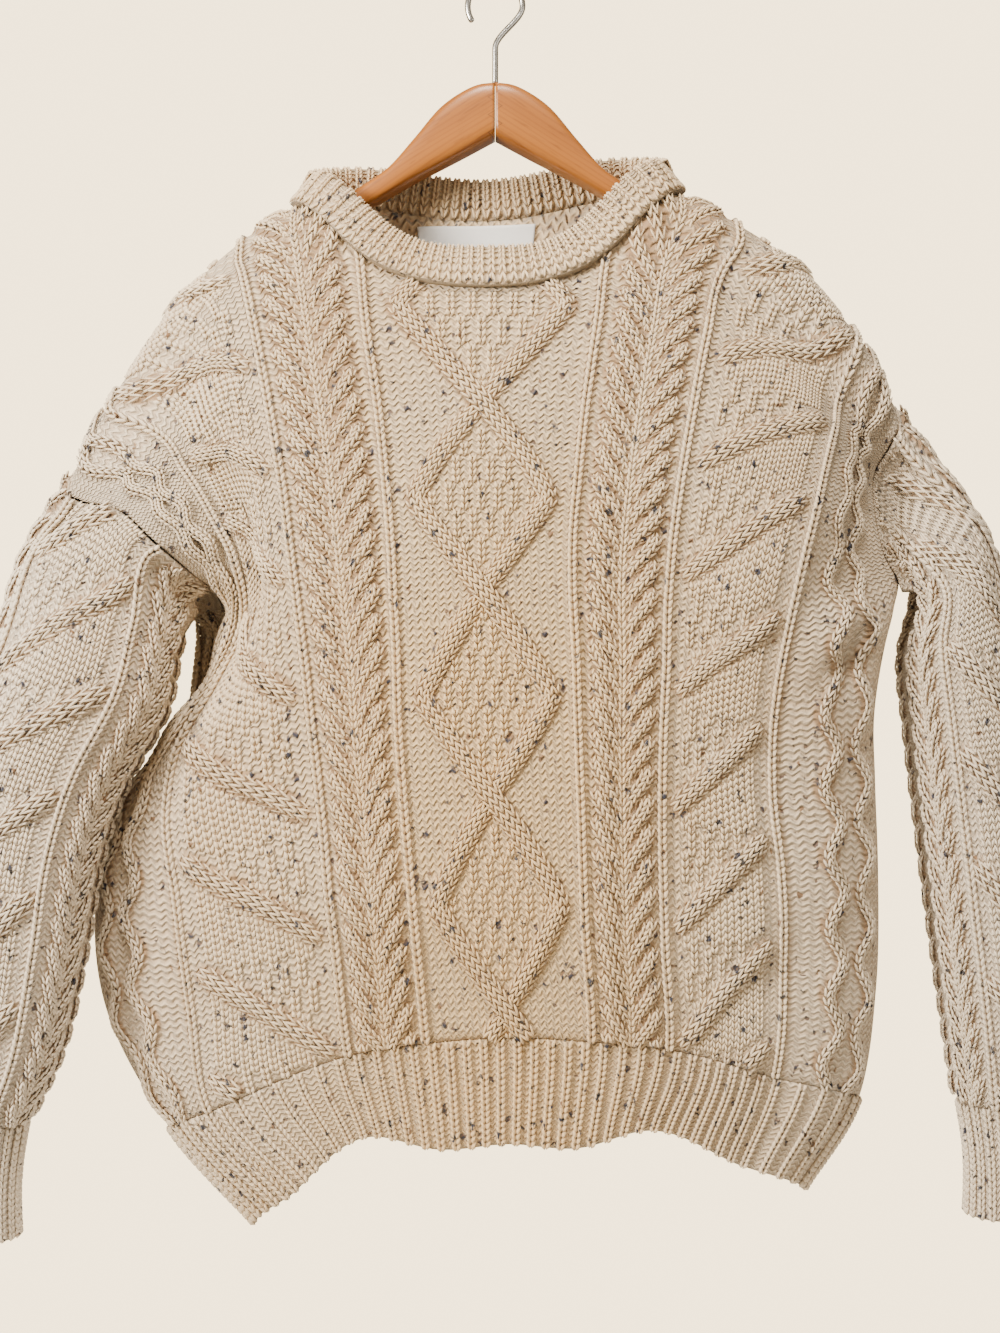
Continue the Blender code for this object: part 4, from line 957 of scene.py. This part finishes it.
stitches = Stitches(band_surface, 0, BAND_STEPS, BAND_ROWS, lambda place: 0.0)
for k in range(BAND_RIBS):
    stitches.strand(4.0 * k + 2, np.arange(0.5, BAND_ROWS, 0.93), 1.1, width=5.2)
raised = knitted("neckband_ribs", stitches)
places = np.arange(0, BAND_STEPS, 1.0)
share_rows = np.linspace(0, BAND_ROWS, 27)
grid_a, grid_r = np.repeat(places, len(share_rows)), np.tile(share_rows, len(places))
on_rib = np.abs(((grid_a - 2) / 2 + 1) % 2 - 1) < 0.4
height = 1.2 * on_rib * np.clip(np.minimum(grid_r, BAND_ROWS - grid_r) / 1.5, 0, 1)
ids = np.arange(len(grid_a)).reshape(len(places), len(share_rows))
ids = np.vstack([ids, ids[:1]])
faces = grid_faces(ids)
faces += np.stack((ids[:-1, 0], ids[1:, 0], ids[1:, -1], ids[:-1, -1]), axis=-1).tolist()
knit = np.stack([grid_a / 4, grid_r, np.ones(len(grid_a))], axis=1)
# Crest drops where the rib stitches cover the cloth, and the wool shader paints shade there
crest = np.clip(0.5 - 0.3 * height, 0, 1)
plain = add_mesh("neckband_cloth", band_surface(grid_a, grid_r, height), faces, WOOL, knit, crest)
finish_knit("neckband", plain, [raised])

# Label: a small woven tape, sewn inside the back neck.
# Smooth white satin weave, a little thinner at its rim.
LABEL_LEFT, LABEL_RIGHT, LABEL_TOP, LABEL_BOTTOM = -32, 24, 9.6, 12.8
LABEL_FRONT, LABEL_BACK = 4.1, 3.3  # in from the back's outer surface
label_across = np.linspace(LABEL_LEFT, LABEL_RIGHT, 57)
label_rows = np.linspace(LABEL_TOP, LABEL_BOTTOM, 15)
grid_a, grid_r = np.repeat(label_across, len(label_rows)), np.tile(label_rows, len(label_across))
edge = np.minimum(grid_a - LABEL_LEFT, LABEL_RIGHT - grid_a)
edge = np.minimum(edge, 8 * np.minimum(grid_r - LABEL_TOP, LABEL_BOTTOM - grid_r))
soft = 0.15 * np.clip(1 - edge, 0, 1)
sides = [BACK_PANEL.point(grid_a, grid_r, -depth) for depth in (LABEL_BACK + soft, LABEL_FRONT - soft)]
ids = np.arange(len(grid_a)).reshape(len(label_across), len(label_rows))
faces = []
for first in (0, len(grid_a)):
    faces += grid_faces(ids + first)
rim = np.concatenate([ids[:, 0], ids[-1, 1:], ids[-2::-1, -1], ids[0, -2:0:-1]])
for a, b in zip(rim, np.roll(rim, -1)):
    faces.append((int(a), int(b), int(b) + len(grid_a), int(a) + len(grid_a)))


def satin_material():
    made, tree, shader = finish("label", {
        "Base Color": (0.83, 0.84, 0.85, 1), "Roughness": 0.45, "Sheen Weight": 0.2,
    })
    place = node(tree, "ShaderNodeTexCoord").outputs["Object"]
    threads = {"Vector": place, "Scale": 420.0, "Distortion": 0.4}
    weave = node(tree, "ShaderNodeTexWave", threads, bands_direction="Z")
    bumped(tree, shader, weave.outputs["Fac"], 0.00008, 0.7)
    return made


label = add_mesh("label_tape", np.concatenate(sides), faces, satin_material())
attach(label, "root")
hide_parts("label")

# Hanger arms: contoured wood, sanded and varnished, with a finger joint in the middle.
# The sweater's shoulders rest on them.
# Table: distance from the middle, top, bottom, half depth, power of the section's rounding
# (1 is an ellipse, less is squarer), for the part that shows.
ARM = (
    (0.15, -72, -109, 15, 0.4), (12, -73.5, -115.5, 15, 0.4), (24, -79, -122, 14.6, 0.4),
    (38, -89, -129.5, 14, 0.45), (56, -110, -139, 13, 0.5), (74, -130, -149.5, 12, 0.55),
    (92, -142, -160, 11, 0.65), (104, -149, -167, 10.5, 0.8),
)
ARM_REST = (124, 145, 166, 186, 200, 212)  # distances where the cloth rests on the arm
ARM_DEEP, ARM_THICK, ARM_POWER = 9.5, 21, 0.9
ARM_CLEAR = 1.0  # under the cloth
INNER_PLACES = (66, 74, 80, 84.9, 110, 140, 170, 201, 225)


def arm_rows(side):
    """Sections from the joint to the tip. Under the sweater the arm follows its shoulder seam."""
    places = np.array(INNER_PLACES, float) * side
    seat = FRONT_PANEL.point(places, np.zeros(len(places)), -3.0)
    rows = list(ARM)
    for x in ARM_REST:
        top = np.interp(x, np.abs(seat[:, 0]), seat[:, 2]) - ARM_CLEAR
        rows.append((x, top, top - ARM_THICK, ARM_DEEP, ARM_POWER))
    x, top, bottom, deep, power = rows[-1]
    rows.append((x + 4, top - 10, bottom + 2, deep * 0.6, power))
    return np.array(rows, float)


def wood_material():
    made, tree, shader = finish("wood", {"Roughness": 0.36, "Coat Weight": 0.25, "Coat Roughness": 0.3})
    place = node(tree, "ShaderNodeTexCoord").outputs["Object"]
    split = node(tree, "ShaderNodeSeparateXYZ", {0: place})
    x, z = split.outputs[0], split.outputs[2]
    aside = maths(tree, "ABSOLUTE", x)
    # The grain runs along the sloping arm
    down = maths(tree, "ADD", z, maths(tree, "MULTIPLY", aside, 0.62))
    grain_place = {0: maths(tree, "MULTIPLY", x, 0.16), 1: split.outputs[1], 2: down}
    grain_place = node(tree, "ShaderNodeCombineXYZ", grain_place).outputs[0]
    wander = noise(tree, grain_place, 26.0, 2.0)
    bands = maths(tree, "ADD", down, maths(tree, "MULTIPLY", wander, 0.02))
    bands = maths(tree, "SINE", maths(tree, "MULTIPLY", bands, 1400.0))
    grain = noise(tree, grain_place, 420.0, 4.0)
    colour = blended(tree, eased(tree, wander, 0.3, 0.7), (0.36, 0.125, 0.018, 1), (0.25, 0.078, 0.012, 1))
    colour = blended(tree, eased(tree, bands, 0.2, 1.0, 0.0, 0.35), colour, (0.22, 0.065, 0.010, 1))
    colour = blended(tree, eased(tree, grain, 0.55, 0.75, 0.0, 0.5), colour, (0.16, 0.048, 0.010, 1))
    # Glue line of the finger joint, a zigzag across the middle
    saw_z = maths(tree, "PINGPONG", z, 0.006)
    line = maths(tree, "SUBTRACT", maths(tree, "MULTIPLY", saw_z, 1.6), 0.0048)
    off = maths(tree, "ABSOLUTE", maths(tree, "SUBTRACT", x, line))
    glue = eased(tree, off, 0.0007, 0.0002, 0.0, 0.75)
    colour = blended(tree, glue, colour, (0.12, 0.045, 0.015, 1))
    tree.links.new(colour, shader.inputs["Base Color"])
    bumped(tree, shader, grain, 0.0001, 0.5)
    return made


WOOD = wood_material()
for name, side in (("hanger_arm_left", -1), ("hanger_arm_right", 1)):
    rows = arm_rows(side)
    end_x = rows[-1, 0]
    rounded = end_x - 4 + 4 * np.sin(np.linspace(0, math.pi / 2, 7)[1:])
    at = np.concatenate([np.linspace(rows[0, 0], end_x - 4, 90), rounded])
    sections = smooth(rows[:, 0], rows[None, :, 1:], at)
    sections[at > end_x - 4, :] = np.stack([
        np.interp(at[at > end_x - 4], rows[-2:, 0], rows[-2:, k]) for k in range(1, 5)], axis=1)
    turn = np.linspace(0, 2 * math.pi, 48, endpoint=False)
    points = []
    for x, (top, bottom, deep, power) in zip(at, sections):
        cos, sin = np.cos(turn), np.sin(turn)
        y = deep * np.sign(cos) * np.abs(cos) ** power
        z = (top + bottom) / 2 + (top - bottom) / 2 * np.sign(sin) * np.abs(sin) ** power
        points.append(np.stack([np.full(48, side * x), y, z], axis=1))
    ids = np.arange(len(at) * 48).reshape(len(at), 48)
    faces = grid_faces(np.hstack([ids, ids[:, :1]])) + [ids[0].tolist(), ids[-1].tolist()]
    arm = add_mesh(name.replace("hanger_arm", "arm"), np.concatenate(points), faces, WOOD)
    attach(arm, "root")
    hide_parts(name)

# Hook: bent steel wire, screwed into the joint of the arms.
# A plain round hook that opens to the left.
WIRE, HOOK_RADIUS, HOOK_STEM_TOP = 2.1, 19, -46
middle = WIRE - HOOK_RADIUS
foot = ARM[0][1] + SEAM
path = [(0, foot + (HOOK_STEM_TOP - foot) * t) for t in np.linspace(0, 1, 8)]
for t in np.linspace(0, 1, 16)[1:-1]:
    path.append((HOOK_RADIUS * t * t * (3 - 2 * t), HOOK_STEM_TOP + (middle - HOOK_STEM_TOP) * t))
for angle in np.radians(np.linspace(0, 210, 60)):
    path.append((HOOK_RADIUS * math.cos(angle), middle + HOOK_RADIUS * math.sin(angle)))
path = np.array(path)
ahead = np.gradient(path, axis=0)
ahead /= np.linalg.norm(ahead, axis=1)[:, None]
turn = np.linspace(0, 2 * math.pi, 24, endpoint=False)
points = []
sizes = np.ones(len(path))
path = np.vstack([path, path[-1] + ahead[-1] * 0.9, path[-1] + ahead[-1] * 1.5])
ahead = np.vstack([ahead, ahead[-1:], ahead[-1:]])
sizes = np.append(sizes, [0.85, 0.4])
for (x, z), (ax, az), size in zip(path, ahead, sizes):
    r = WIRE * size
    points.append(np.stack([x + r * az * np.cos(turn), r * np.sin(turn), z - r * ax * np.cos(turn)], axis=1))
ids = np.arange(len(path) * 24).reshape(len(path), 24)
faces = grid_faces(np.hstack([ids, ids[:, :1]])) + [ids[0].tolist(), ids[-1].tolist()]


def steel_material():
    made, tree, shader = finish("steel", {"Base Color": (0.62, 0.62, 0.61, 1), "Metallic": 1.0})
    place = node(tree, "ShaderNodeTexCoord").outputs["Object"]
    brushed = noise(tree, place, 300.0, 3.0)
    tree.links.new(eased(tree, brushed, 0.2, 0.8, 0.2, 0.34), shader.inputs["Roughness"])
    return made


hook = add_mesh("hook_wire", np.concatenate(points), faces, steel_material())
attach(hook, "root")
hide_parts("hook")

# Pale floor below the picture, a plain pale world, and soft studio light.
# The light comes from the left and from above, so that ribs and cables both throw soft shadows.
floor_mesh = bpy.data.meshes.new("floor")
FLOOR_HALF, FLOOR_BEHIND, FLOOR_Z = 0.7, 0.34, -1.1
corners = [(-FLOOR_HALF, -FLOOR_HALF), (FLOOR_HALF, -FLOOR_HALF)]
corners += [(FLOOR_HALF, FLOOR_BEHIND), (-FLOOR_HALF, FLOOR_BEHIND)]
floor_mesh.from_pydata([(x, y, FLOOR_Z) for x, y in corners], [], [(0, 1, 2, 3)])
floor = bpy.data.objects.new("floor", floor_mesh)
bpy.context.scene.collection.objects.link(floor)
floor_mesh.materials.append(finish("floor", {"Base Color": (0.80, 0.78, 0.74, 1), "Roughness": 0.9})[0])

world = bpy.data.worlds.new("studio")
world.use_nodes = True
tree = world.node_tree
seen = node(tree, "ShaderNodeLightPath").outputs["Is Camera Ray"]
shown = blended(tree, seen, (0.86, 0.72, 0.54, 1), (1.0, 0.79, 0.48, 1))
tree.links.new(shown, tree.nodes["Background"].inputs["Color"])
strength = maths(tree, "ADD", 0.34, maths(tree, "MULTIPLY", seen, 4.1))
tree.links.new(strength, tree.nodes["Background"].inputs["Strength"])
bpy.context.scene.world = world

for name, place, aim, size, power in (
    ("key", (-1.3, -1.15, 0.1), (0.0, 0.0, -0.45), 0.5, 64),
    ("top", (-0.1, -0.95, 1.05), (0.0, 0.0, -0.45), 0.6, 42),
    ("fill", (1.5, -1.5, -0.2), (0.0, 0.0, -0.5), 1.4, 9),
    ("behind", (0.3, 1.6, 0.5), (0.0, 0.0, -0.45), 1.2, 12),
):
    lamp = bpy.data.lights.new(name, "AREA")
    lamp.shape = "DISK"
    lamp.size = size
    lamp.energy = power
    lamp.color = (1.0, 0.91, 0.78)
    holder = bpy.data.objects.new(name, lamp)
    holder.location = place
    from_to = Vector(aim) - Vector(place)
    holder.rotation_euler = from_to.to_track_quat("-Z", "Y").to_euler()
    bpy.context.scene.collection.objects.link(holder)

# Camera: level with the sweater's middle, with the whole garment framed as in the photo.
lens = bpy.data.cameras.new("camera")
lens.sensor_fit = "HORIZONTAL"
lens.sensor_width = 36
lens.lens = 70.8
camera = bpy.data.objects.new("camera", lens)
camera.location = (0.0033, -1.365, -0.475)
camera.rotation_euler = (math.pi / 2, 0, 0)
bpy.context.scene.collection.objects.link(camera)
bpy.context.scene.camera = camera
